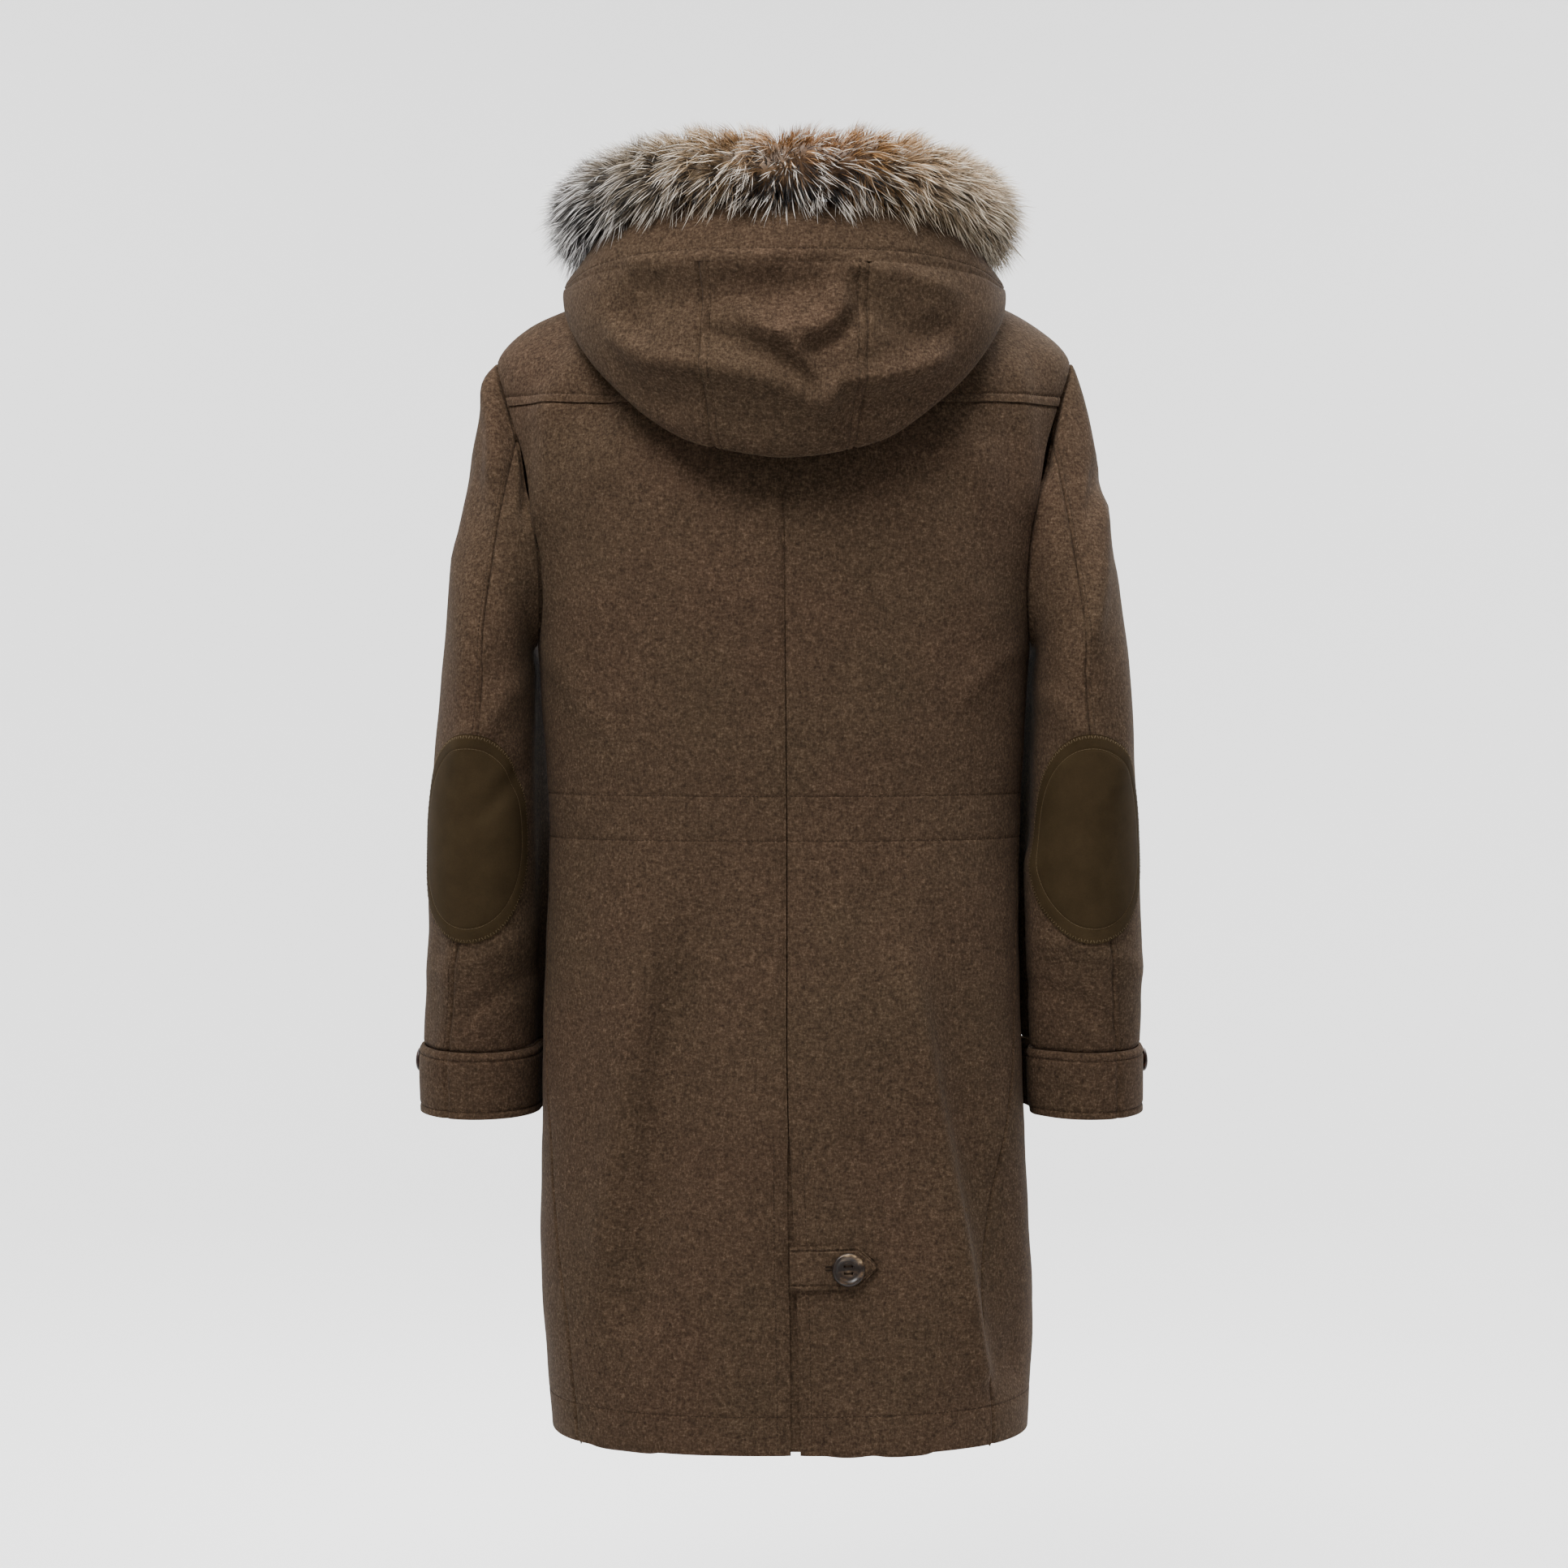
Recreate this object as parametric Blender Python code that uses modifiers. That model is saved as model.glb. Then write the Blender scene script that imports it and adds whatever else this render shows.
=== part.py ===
"""Hooded parka, filled out as if worn, hood down on the back.

Metres, +Z up. The origin is the middle of the neck at the height of the shoulder's neck
points. The garment's front faces -Y and the wearer's left is +X. Every panel is a cloth
wall worked out from the section tables below: the body from level sections between hem
and neckline, each sleeve from its armhole down to its cuff, the hood from profiles
round the neck. Neighbours stop SEAM_GAP apart, and what lies on a panel is made from
that panel's own points, moved out.
"""
from collections import namedtuple
from math import cos, pi, radians, sin

import bmesh
import bpy
import numpy as np
from mathutils import Vector

# ---- Driving dimensions -------------------------------------------------------------
CLOTH = 0.0025              # coating cloth with its backing
SEAM_GAP = 0.0003           # between neighbouring pieces
OVERLAY_LIFT = 0.0007       # between a panel and a piece lying on it, at their vertices
NECK_GAP = 0.00055          # between the body's neckline and the hood
POCKET_LIFT = 0.0013        # the same where the panel is folded or sharply curved
TAB_LIFT = 0.0018
EPS = 1e-4                  # parameter step for surface normals

ARM_COLUMNS = 24            # columns round an armhole and its sleeve
YOKE_ROW = 3                # armhole row, counted from the shoulder tip, of the yoke seam
BACK_SLEEVE_SEAM = 4        # armhole rows where the sleeve's two seams start
FRONT_SLEEVE_SEAM = 17
ARMHOLE_BACK = 20.5         # half widths of the armhole, in degrees round the body
ARMHOLE_FRONT = 36.0

VENT_TOP = -0.715
VENT_OPENING = 0.0066       # at the hem
UNDERLAP = dict(clear=0.0018, reach=0.038, root=0.010, top=-0.700, bottom=-0.9635,
                thickness=0.0018, sunk=0.6, sunk_end=0.0035, clear_start=0.0015)
CENTRE_SEAM_DRIFT = -0.0046

PATCH_LENGTH = 0.171
PATCH_THICKNESS = 0.0016
PATCH_HEIGHT = -0.4710
PATCH_HALF_TURN = 0.195     # half its width, as a share of the way round the sleeve
PATCH_PLACE = dict(left=0.222, right=0.243)     # round the sleeve from its outer edge

FRONT_LAP = 0.024           # how far the left front laps past the middle
POCKET = dict(inner=0.062, outer=0.187, top=-0.578, bottom=-0.756, corner=0.022)
FLAP = dict(inner=0.059, outer=0.190, top=-0.558, bottom=-0.626, corner=0.012)

TAB = dict(start=-0.0046, shoulder=-0.0595, point=-0.0755, middle=-0.8155, half=0.0175)
VENT_BUTTON = dict(radius=0.0135, thickness=0.0042, x=-0.0508, z=-0.8175)
CUFF_BUTTON = dict(radius=0.0102, thickness=0.0036, turn=0.965, down=0.016)
FRONT_BUTTON = dict(radius=0.0135, thickness=0.0042)
FRONT_BUTTON_HEIGHTS = (-0.150, -0.300, -0.450, -0.600)

FUR_CLEAR = 0.0004
FUR_UPRIGHT = 1.5           # how far the roll stands up from the band's own slope
FUR_LUMP = 0.05             # unevenness of the roll, as a share of its radius
FUR_WANDER = 1.7            # how fast the lumps wind along it, radians a ring
BUTTON_SIDES = 16

# ---- Section tables -----------------------------------------------------------------
Section = namedtuple("Section", "name side_z back_z front_z half back front power shift")
BODY = (
    Section("hem", -0.966, -0.966, -0.966, 0.2005, 0.158, 0.144, 2.60, -0.0048),
    Section("skirt", -0.864, -0.864, -0.864, 0.2068, 0.150, 0.140, 2.60, -0.0032),
    Section("low hip", -0.761, -0.761, -0.761, 0.2050, 0.141, 0.136, 2.50, -0.0005),
    Section("hip", -0.660, -0.660, -0.660, 0.2024, 0.134, 0.131, 2.45, 0.0015),
    Section("high hip", -0.560, -0.560, -0.560, 0.2002, 0.125, 0.126, 2.40, 0.0008),
    Section("waist", -0.454, -0.454, -0.454, 0.1988, 0.118, 0.121, 2.35, 0.0),
    Section("rib", -0.380, -0.380, -0.380, 0.2030, 0.123, 0.124, 2.30, 0.0),
    Section("armpit", -0.312, -0.312, -0.312, 0.2070, 0.127, 0.124, 2.25, 0.0),
    Section("blade", -0.220, -0.220, -0.225, 0.2200, 0.128, 0.119, 2.20, 0.0),
    Section("across", -0.150, -0.150, -0.165, 0.2320, 0.124, 0.112, 2.10, 0.0),
    Section("yoke", -0.112, -0.114, -0.143, 0.2385, 0.119, 0.107, 1.95, 0.0),
    Section("tip", -0.073, -0.087, -0.122, 0.2415, 0.112, 0.101, 1.75, 0.0),
    Section("slope", -0.046, -0.064, -0.106, 0.2150, 0.104, 0.095, 1.60, 0.0),
    Section("mid", -0.024, -0.041, -0.092, 0.1700, 0.096, 0.088, 1.55, 0.0),
    Section("low neck", -0.008, -0.022, -0.080, 0.1200, 0.088, 0.082, 1.75, 0.0),
    Section("neckline", 0.003, -0.012, -0.072, 0.0860, 0.083, 0.078, 2.00, 0.0),
)

SideSeam = namedtuple("SideSeam", "z left right")       # degrees behind the true side
SIDE_SEAM = (
    SideSeam(-0.965, 34.0, 39.0),
    SideSeam(-0.864, 32.0, 39.0),
    SideSeam(-0.780, 25.0, 33.0),
    SideSeam(-0.660, 15.0, 20.0),
    SideSeam(-0.454, 8.0, 10.0),
    SideSeam(-0.312, 4.0, 4.0),
)

# Long soft folds on the back: x and z of both ends, half width, and height off the cloth.
Fold = namedtuple("Fold", "x0 z0 x1 z1 width height")
BACK_FOLDS = (
    Fold(0.060, -0.480, 0.118, -0.860, 0.030, -0.0060),
    Fold(0.118, -0.560, 0.155, -0.900, 0.030, 0.0030),
    Fold(-0.098, -0.560, -0.136, -0.720, 0.022, 0.0070),
    Fold(-0.136, -0.720, -0.166, -0.900, 0.020, 0.0060),
    Fold(-0.060, -0.640, -0.075, -0.930, 0.032, -0.0040),
    Fold(0.020, -0.600, 0.035, -0.930, 0.030, 0.0030),
    Fold(0.150, -0.135, 0.185, -0.230, 0.022, 0.0050),
    Fold(-0.150, -0.125, -0.185, -0.230, 0.022, 0.0050),
)
FRONT_FOLDS = (
    Fold(0.075, -0.230, 0.110, -0.440, 0.030, 0.0040),
    Fold(-0.070, -0.240, -0.105, -0.430, 0.030, 0.0040),
    Fold(0.090, -0.780, 0.120, -0.930, 0.030, 0.0045),
    Fold(-0.085, -0.780, -0.125, -0.930, 0.034, 0.0040),
)

# hug is how far the sleeve's inner front presses in towards the body's front corner.
Sleeve = namedtuple("Sleeve", "name z outer_left outer_right inner y depth tilt hug")
SLEEVE = (
    Sleeve("biceps", -0.335, 0.2880, 0.2885, 0.2095, 0.004, 0.078, 0.00, 0.046),
    Sleeve("upper arm", -0.400, 0.2935, 0.2945, 0.2090, 0.006, 0.074, 0.00, 0.054),
    Sleeve("elbow", -0.470, 0.2980, 0.2985, 0.2080, 0.007, 0.069, 0.02, 0.058),
    Sleeve("forearm", -0.560, 0.3022, 0.3025, 0.2080, 0.001, 0.063, 0.04, 0.058),
    Sleeve("cuff seam", -0.6495, 0.3060, 0.3022, 0.2100, -0.010, 0.056, 0.05, 0.048),
)
CUFF_HEIGHT = 0.056
CUFF_LEAN = 0.08             # forward for each metre down
CUFF_FLARE = 0.0034         # the cuff stands this far out from the sleeve's end

BackSeam = namedtuple("BackSeam", "z back front")       # shares of the way round
SLEEVE_SEAMS = (
    BackSeam(-0.335, 0.255, 0.700),
    BackSeam(-0.400, 0.245, 0.690),
    BackSeam(-0.470, 0.225, 0.680),
    BackSeam(-0.560, 0.195, 0.675),
    BackSeam(-0.6495, 0.168, 0.670),
)

# Hood profiles round the neck, from centre back (0) to the front. Each is a curve from
# the neckline over its stand, down the inside to the bottom of the bag and up the
# outside to the opening's edge: distances out from the neck's axis, and heights.
Profile = namedtuple(
    "Profile",
    "angle stand_r stand_z in_r in_z low_r low_z out_r out_z rim_r rim_z edge_r edge_z")
HOOD = (
    Profile(0, 0.094, 0.006, 0.120, -0.060, 0.157, -0.168, 0.192, -0.085, 0.190, 0.008,
            0.174, 0.038),
    Profile(35, 0.095, 0.009, 0.124, -0.042, 0.169, -0.139, 0.198, -0.070, 0.194, 0.006,
            0.176, 0.036),
    Profile(53, 0.096, 0.011, 0.131, -0.019, 0.181, -0.094, 0.200, -0.054, 0.193, -0.001,
            0.176, 0.026),
    Profile(70, 0.096, 0.013, 0.130, -0.002, 0.182, -0.048, 0.193, -0.036, 0.187, -0.010,
            0.170, 0.016),
    Profile(90, 0.095, 0.012, 0.122, 0.004, 0.158, -0.010, 0.178, -0.020, 0.180, -0.008,
            0.163, 0.010),
    Profile(120, 0.093, -0.004, 0.108, -0.004, 0.127, -0.010, 0.143, -0.014, 0.149, -0.006,
            0.143, 0.009),
    Profile(150, 0.087, -0.046, 0.094, -0.032, 0.101, -0.021, 0.107, -0.012, 0.110, -0.002,
            0.110, 0.008),
    Profile(172, 0.083, -0.058, 0.087, -0.045, 0.091, -0.033, 0.095, -0.022, 0.098, -0.012,
            0.099, -0.002),
)
HOOD_END = 172.0
HOOD_CENTRE_PANEL = 20.0    # half angle of the middle panel
HOOD_BLUNT = 7.0            # degrees over which the hood rounds off at its middle
RIM_SHARE = 0.84            # where the edge band starts along a profile
BAND_SHARE = 0.97           # a place on the band that gives its slope at the edge

Ruff = namedtuple("Ruff", "angle radius flat")          # the fur's roll along the opening
RUFF = (
    Ruff(0, 0.0345, 0.98),
    Ruff(40, 0.0370, 0.96),
    Ruff(80, 0.0410, 0.94),
    Ruff(120, 0.0340, 0.98),
    Ruff(150, 0.0250, 1.00),
    Ruff(172, 0.0160, 1.00),
)

Finish = namedtuple("Finish", "name colour roughness")
WOOL = Finish("brown wool", (0.062, 0.043, 0.030), 0.95)
SUEDE = Finish("suede patch", (0.040, 0.032, 0.022), 0.90)
HORN = Finish("dark horn", (0.030, 0.020, 0.014), 0.35)
FUR = Finish("fur", (0.300, 0.235, 0.180), 1.00)


# ---- Curves -------------------------------------------------------------------------
def smooth(knots, values, at):
    """A smooth curve through a table's column, read at one place or many."""
    knots = np.asarray(knots, dtype=float)
    values = np.asarray(values, dtype=float)
    at = np.clip(at, knots[0], knots[-1])
    slopes = np.gradient(values, knots)
    i = np.clip(np.searchsorted(knots, at, side="right") - 1, 0, len(knots) - 2)
    width = knots[i + 1] - knots[i]
    s = (at - knots[i]) / width
    rise = s * s * (3 - 2 * s)
    lead = s * (1 - s) ** 2 * width * slopes[i]
    trail = s * s * (s - 1) * width * slopes[i + 1]
    return values[i] * (1 - rise) + values[i + 1] * rise + lead + trail


def column(table, name):
    return [getattr(row, name) for row in table]


def section_runs():
    """Distance of each body section from the hem, along the side and the back."""
    runs = [0.0]
    for low, high in zip(BODY, BODY[1:]):
        side = np.hypot(high.side_z - low.side_z, high.half - low.half)
        back = np.hypot(high.back_z - low.back_z, high.back - low.back)
        runs.append(runs[-1] + (side + back) / 2)
    return runs


RUNS = section_runs()
RUN = {row.name: run for row, run in zip(BODY, RUNS)}


def body_column(name, run):
    return smooth(RUNS, column(BODY, name), run)


def run_at_height(z):
    """The run of a level section, for heights below the armpit."""
    return smooth(column(BODY[:8], "side_z"), RUNS[:8], z)


# ---- Body surface -------------------------------------------------------------------
def fold_height(folds, x, z):
    """How far the folds lift the cloth at x, z. Each fades out along and across."""
    lift = np.zeros_like(x)
    for fold in folds:
        along_x = fold.x1 - fold.x0
        along_z = fold.z1 - fold.z0
        length = np.hypot(along_x, along_z)
        s = ((x - fold.x0) * along_x + (z - fold.z0) * along_z) / length ** 2
        across = ((x - fold.x0) * along_z - (z - fold.z0) * along_x) / length
        end = np.clip(np.abs(s - 0.5) * 2, 0, 1.4)
        fade = np.clip(1.4 - end, 0, 1) ** 2
        lift += fold.height * fade * np.exp(-(across / fold.width) ** 2)
    return lift


def body_point(angle, run, side):
    """A point of the body's outer face. angle is in degrees: 0 at the true side, 90 at
    centre back, -90 at centre front. side is +1 for the wearer's left."""
    turn = np.radians(angle)
    c, s = np.cos(turn), np.sin(turn)
    power = 2 / body_column("power", run)
    behind = s > 0
    depth = np.where(behind, body_column("back", run), -body_column("front", run))
    end_z = np.where(behind, body_column("back_z", run), body_column("front_z", run))
    side_z = body_column("side_z", run)
    x = body_column("half", run) * np.sign(c) * np.abs(c) ** power
    y = depth * np.abs(s) ** power
    z = side_z + (end_z - side_z) * s * s
    x = side * x + body_column("shift", run)
    fade = np.clip(np.abs(s) * 2 - 0.5, 0, 1)
    y = y + fade * np.where(behind, fold_height(BACK_FOLDS, x, z),
                            -fold_height(FRONT_FOLDS, x, z))
    return np.stack([x, y, z], axis=-1)


def armhole_share(run):
    """0 at the armpit, 1 at the shoulder tip."""
    return np.clip((run - RUN["armpit"]) / (RUN["tip"] - RUN["armpit"]), 0, 1)


def edge_angle(run, side, front):
    """Where a panel's outer edge runs: side seam, armhole, then shoulder seam."""
    z = body_column("side_z", run)
    heights = column(SIDE_SEAM, "z")
    angles = column(SIDE_SEAM, "left" if side > 0 else "right")
    share = armhole_share(run)
    base = np.where(share > 0, SIDE_SEAM[-1].left * (1 - share), smooth(heights, angles, z))
    swing = np.sqrt(np.clip(4 * share * (1 - share), 0, 1))
    return base + swing * (-ARMHOLE_FRONT if front else ARMHOLE_BACK)


def arm_row_runs():
    """Runs of the armhole's rows, from the shoulder tip down to the armpit."""
    count = ARM_COLUMNS // 2
    shares = [(1 + cos(pi * i / count)) / 2 for i in range(count + 1)]
    return [RUN["armpit"] + s * (RUN["tip"] - RUN["armpit"]) for s in shares]


ARM_RUNS = arm_row_runs()
YOKE_RUN = ARM_RUNS[YOKE_ROW]
SKIRT_HEIGHTS = (-0.966, -0.905, -0.845, -0.780, -0.715, -0.650, -0.585, -0.525, -0.472,
                 -0.4355, -0.395, -0.352)


def lower_rows():
    return [float(run_at_height(z)) for z in SKIRT_HEIGHTS]


def neck_rows(count=5):
    span = RUNS[-1] - RUN["tip"]
    return [RUN["tip"] + span * (i + 1) / count for i in range(count)]


def back_point(across, run, side):
    """across is 0 at the centre-back seam and 1 at the panel's outer edge."""
    edge = edge_angle(run, side, front=False)
    point = body_point(90 + (edge - 90) * across, run, side)
    z = point[..., 2]
    low = np.clip((-0.2 - z) / (-0.2 - VENT_TOP), 0, 1)
    opening = np.clip((VENT_TOP - z) / (VENT_TOP - BODY[0].side_z), 0, 1) ** 0.4
    fade = (1 - across) ** 2
    point[..., 0] += fade * (CENTRE_SEAM_DRIFT * low + side * VENT_OPENING / 2 * opening)
    return point


def front_point(across, run, side):
    """across is 0 at the front's lapped edge and 1 at the panel's outer edge."""
    edge = edge_angle(run, side, front=True)
    reach = FRONT_LAP / body_column("half", run)
    lap = np.degrees(np.arcsin(reach ** (body_column("power", run) / 2)))
    start = -90 - side * lap
    return body_point(start + (edge - start) * across, run, side)


def place_at(x, z):
    """Angle and run of the body's point at x and z, below the armpit."""
    run = run_at_height(z)
    reach = np.abs(x - body_column("shift", run)) / body_column("half", run)
    share = np.clip(reach, 0, 1) ** (body_column("power", run) / 2)
    return np.degrees(np.arccos(share)), run


# ---- Sleeve surface -----------------------------------------------------------------
def armhole_point(turn, side):
    """A point of the armhole. turn is 0 at the tip, 0.5 at the armpit, 1 at the tip."""
    share = (1 + np.cos(2 * pi * turn)) / 2
    run = RUN["armpit"] + share * (RUN["tip"] - RUN["armpit"])
    swing = np.sqrt(np.clip(4 * share * (1 - share), 0, 1))
    base = SIDE_SEAM[-1].left * (1 - share)
    wide = np.where(np.mod(turn, 1) < 0.5, ARMHOLE_BACK, -ARMHOLE_FRONT)
    return body_point(base + swing * wide, run, side)


def sleeve_column(name, z):
    rows = SLEEVE[::-1]
    return smooth(column(rows, "z"), column(rows, name), z)


def sleeve_ring(turn, z, side, out=0.0):
    """A point of the sleeve below the biceps, out being how far it stands off."""
    outer = sleeve_column("outer_left" if side > 0 else "outer_right", z)
    inner = sleeve_column("inner", z)
    depth = sleeve_column("depth", z)
    around = 2 * pi * turn
    inward = np.clip(-np.cos(around), 0, 1) * np.clip(-np.sin(around), 0, 1) ** 2
    x = side * ((outer + inner) / 2 + ((outer - inner) / 2 + out) * np.cos(around)
                - sleeve_column("hug", z) * inward)
    lift = (depth + out) * np.sin(around)
    y = sleeve_column("y", z) + lift
    return np.stack([x, y, z - lift * sleeve_column("tilt", z)], axis=-1)


CAP_EASE = 0.016            # how far the sleeve's head runs out before it drops
CAP_END = 1.0               # down is 0 at the armhole, 1 at the biceps, then 1 + metres


def sleeve_point(turn, down, side):
    """A point of the sleeve's outer face, from the armhole to the cuff seam."""
    start = armhole_point(turn, side)
    biceps = SLEEVE[0].z
    end = sleeve_ring(turn, np.full_like(turn, biceps), side)
    around = 2 * pi * turn
    lead = np.stack([side * (0.76 + 0.02 * np.cos(around)), 0.42 * np.sin(around),
                     -0.46 - 0.17 * np.cos(around)], axis=-1)
    lead /= np.linalg.norm(lead, axis=-1, keepdims=True)
    start = start + lead * SEAM_GAP
    reach = np.linalg.norm(end - start, axis=-1, keepdims=True)
    below = sleeve_ring(turn, np.full_like(turn, biceps - 0.01), side)
    trail = (below - end) / np.linalg.norm(below - end, axis=-1, keepdims=True)
    s = np.clip(down, 0, CAP_END)[..., None]
    first = start + lead * np.minimum(reach * 0.36, CAP_EASE)
    second = end - trail * reach * 0.36
    cap = (start * (1 - s) ** 3 + 3 * first * s * (1 - s) ** 2
           + 3 * second * s * s * (1 - s) + end * s ** 3)
    lower = sleeve_ring(turn, biceps - np.maximum(down - CAP_END, 0), side)
    return np.where((down <= CAP_END)[..., None], cap, lower)


def sleeve_turn(across, down, upper):
    """Where a sleeve piece's column lies round the sleeve: the seams sweep down it."""
    z = SLEEVE[0].z - np.maximum(down - CAP_END, 0)
    rows = SLEEVE_SEAMS[::-1]
    cap = np.clip(down, 0, CAP_END)
    back = smooth(column(rows, "z"), column(rows, "back"), z)
    front = smooth(column(rows, "z"), column(rows, "front"), z)
    back_start = BACK_SLEEVE_SEAM / ARM_COLUMNS
    front_start = FRONT_SLEEVE_SEAM / ARM_COLUMNS
    back = back_start + (back - back_start) * cap
    front = front_start + (front - front_start) * cap
    if upper:
        return front - 1 + (back - front + 1) * across
    return back + (front - back) * across


# ---- Hood surface -------------------------------------------------------------------
HOOD_STEPS = (0.0, 0.10, 0.30, 0.52, 0.72, 0.88, 1.0)
HOOD_NAMES = ("stand", "in", "low", "out", "rim", "edge")


def neck_point(angle):
    """The hood's start on the neckline, angle in degrees from centre back, + to the left."""
    side = np.where(angle < 0, -1.0, 1.0)
    point = body_point(90 - np.abs(angle), np.full_like(angle, RUNS[-1]), side)
    point[..., 2] += NECK_GAP
    return point


def hood_point(angle, share):
    """A point of the hood's outer face: share runs from the neckline to the edge."""
    size = np.clip(np.hypot(angle, HOOD_BLUNT), 0, HOOD_END)
    across = np.sin(np.radians(angle))
    back = np.cos(np.radians(angle))
    neck = neck_point(angle)
    knots = [np.stack([neck[..., 0], neck[..., 1], neck[..., 2]], axis=-1)]
    for name in HOOD_NAMES:
        r = smooth(column(HOOD, "angle"), column(HOOD, name + "_r"), size)
        z = smooth(column(HOOD, "angle"), column(HOOD, name + "_z"), size)
        knots.append(np.stack([r * across, r * back, z], axis=-1))
    return along_knots(knots, share)


def along_knots(knots, share):
    """A smooth path through points, with HOOD_STEPS as their places along it."""
    steps = np.asarray(HOOD_STEPS)
    stack = np.stack(knots)
    slopes = np.gradient(stack, steps, axis=0)
    i = np.clip(np.searchsorted(steps, share, side="right") - 1, 0, len(steps) - 2)
    width = (steps[i + 1] - steps[i])[..., None]
    s = ((share - steps[i])[..., None]) / width

    def pick(values, index):
        return np.take_along_axis(values, index[None, ..., None], axis=0)[0]

    rise = s * s * (3 - 2 * s)
    lead = s * (1 - s) ** 2 * width * pick(slopes, i)
    trail = s * s * (s - 1) * width * pick(slopes, i + 1)
    return pick(stack, i) * (1 - rise) + pick(stack, i + 1) * rise + lead + trail


# ---- Solids from surfaces -----------------------------------------------------------
def grid(across, along):
    return np.meshgrid(np.asarray(across, float), np.asarray(along, float))


def outward(surface, a, b, facing):
    """Unit normals of a surface, turned to the side that facing gives."""
    da = surface(a + EPS, b) - surface(a - EPS, b)
    db = surface(a, b + EPS) - surface(a, b - EPS)
    normal = np.cross(da, db)
    normal /= np.maximum(np.linalg.norm(normal, axis=-1, keepdims=True), 1e-12)
    return normal * facing


def pull_edges(points, edges):
    """Draw the named edges of a grid back by half a seam gap."""
    moves = {"first": (0, 1), "last": (-1, -2)}
    for edge in edges:
        line, end = edge.split(" ")
        rim, inner = moves[end]
        if line == "row":
            step = points[inner] - points[rim]
            length = np.linalg.norm(step, axis=-1, keepdims=True)
            points[rim] += step / length * SEAM_GAP / 2
        else:
            step = points[:, inner] - points[:, rim]
            length = np.linalg.norm(step, axis=-1, keepdims=True)
            points[:, rim] += step / length * SEAM_GAP / 2
    return points


def material(finish):
    found = bpy.data.materials.get(finish.name)
    if found:
        return found
    made = bpy.data.materials.new(finish.name)
    made.use_nodes = True
    shader = made.node_tree.nodes["Principled BSDF"]
    shader.inputs["Base Color"].default_value = (*finish.colour, 1)
    shader.inputs["Roughness"].default_value = finish.roughness
    shader.inputs["Metallic"].default_value = 0.0
    return made


def keep(bm, name, finish):
    """Turn a bmesh into a named object of the parka."""
    bmesh.ops.recalc_face_normals(bm, faces=bm.faces)
    mesh = bpy.data.meshes.new(name)
    bm.to_mesh(mesh)
    bm.free()
    mesh.shade_smooth()
    mesh.set_sharp_from_angle(angle=radians(50))
    piece = bpy.data.objects.new(name, mesh)
    own = material(finish).copy()
    own.name = name
    mesh.materials.append(own)
    PARKA.objects.link(piece)
    return piece


def wall(name, finish, outer, inner, ring=False):
    """A closed wall between two grids of points. ring joins the last column to the
    first, for a tube."""
    rows, columns = outer.shape[:2]
    bm = bmesh.new()
    skins = []
    for points in (outer, inner):
        skins.append([[bm.verts.new(points[r, c]) for c in range(columns)]
                      for r in range(rows)])
    last = columns if ring else columns - 1
    for r in range(rows - 1):
        for c in range(last):
            d = (c + 1) % columns
            for skin in skins:
                bm.faces.new((skin[r][c], skin[r][d], skin[r + 1][d], skin[r + 1][c]))
    front, rear = skins
    for c in range(last):
        d = (c + 1) % columns
        for r in (0, rows - 1):
            bm.faces.new((front[r][c], front[r][d], rear[r][d], rear[r][c]))
    if not ring:
        for r in range(rows - 1):
            for c in (0, columns - 1):
                bm.faces.new((front[r][c], front[r + 1][c], rear[r + 1][c], rear[r][c]))
    return keep(bm, name, finish)


def cloth(name, surface, across, along, facing, edges=(), ring=False, lift=0.0,
          thick=CLOTH, finish=WOOL):
    """A cloth wall under a surface, or lifted off it by lift."""
    a, b = grid(across, along)
    normal = outward(surface, a, b, facing)
    base = surface(a, b)
    top = pull_edges(base + normal * (lift + (thick if lift else 0)), edges)
    under = pull_edges(base + normal * (lift if lift else -thick), edges)
    return wall(name, finish, top, under, ring)


def steps(count, first=0.0, last=1.0):
    return [first + (last - first) * i / count for i in range(count + 1)]


# ---- Body pieces --------------------------------------------------------------------
def make_back_panels():
    rows = lower_rows() + ARM_RUNS[:YOKE_ROW - 1:-1]
    for side, name in ((1, "back_left"), (-1, "back_right")):
        cloth(name, lambda a, b: back_point(a, b, side), steps(10), rows, -side,
              ("column first", "column last", "row last"))


def make_underlap():
    """The vent's underlap: a strip from the right panel's inner face, behind the left one.
    It is joined to the right panel."""
    heights = steps(8, UNDERLAP["bottom"], UNDERLAP["top"])
    hidden = CLOTH + UNDERLAP["clear"]
    sunk = CLOTH * UNDERLAP["sunk"]
    edge = back_point(np.zeros(1), run_at_height(np.array([UNDERLAP["bottom"]])), -1)[0, 0]
    places = [edge - UNDERLAP[name] for name in ("root", "sunk_end", "clear_start")]
    places += steps(4, edge, edge + UNDERLAP["reach"])
    x, z = grid(places, heights)
    run = run_at_height(z)
    angle = place_at(x, z)[0]
    side = np.where(x > body_column("shift", run), 1.0, -1.0)
    base = body_point(angle, run, side)
    turn = edge - (UNDERLAP["sunk_end"] + UNDERLAP["clear_start"]) / 2
    sink = np.where(x < turn, sunk, hidden)
    inward = np.array([0.0, -1.0, 0.0])
    outer = base + inward * sink[..., None]
    inner = base + inward * (hidden + UNDERLAP["thickness"])
    strip = wall("underlap_strip", WOOL, outer, inner)
    PARKA.objects.unlink(strip)
    CUTTERS.objects.link(strip)
    strip.hide_render = True
    strip.display_type = "WIRE"
    join = bpy.data.objects["back_right"].modifiers.new("underlap", "BOOLEAN")
    join.object = strip
    join.operation = "UNION"


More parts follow.
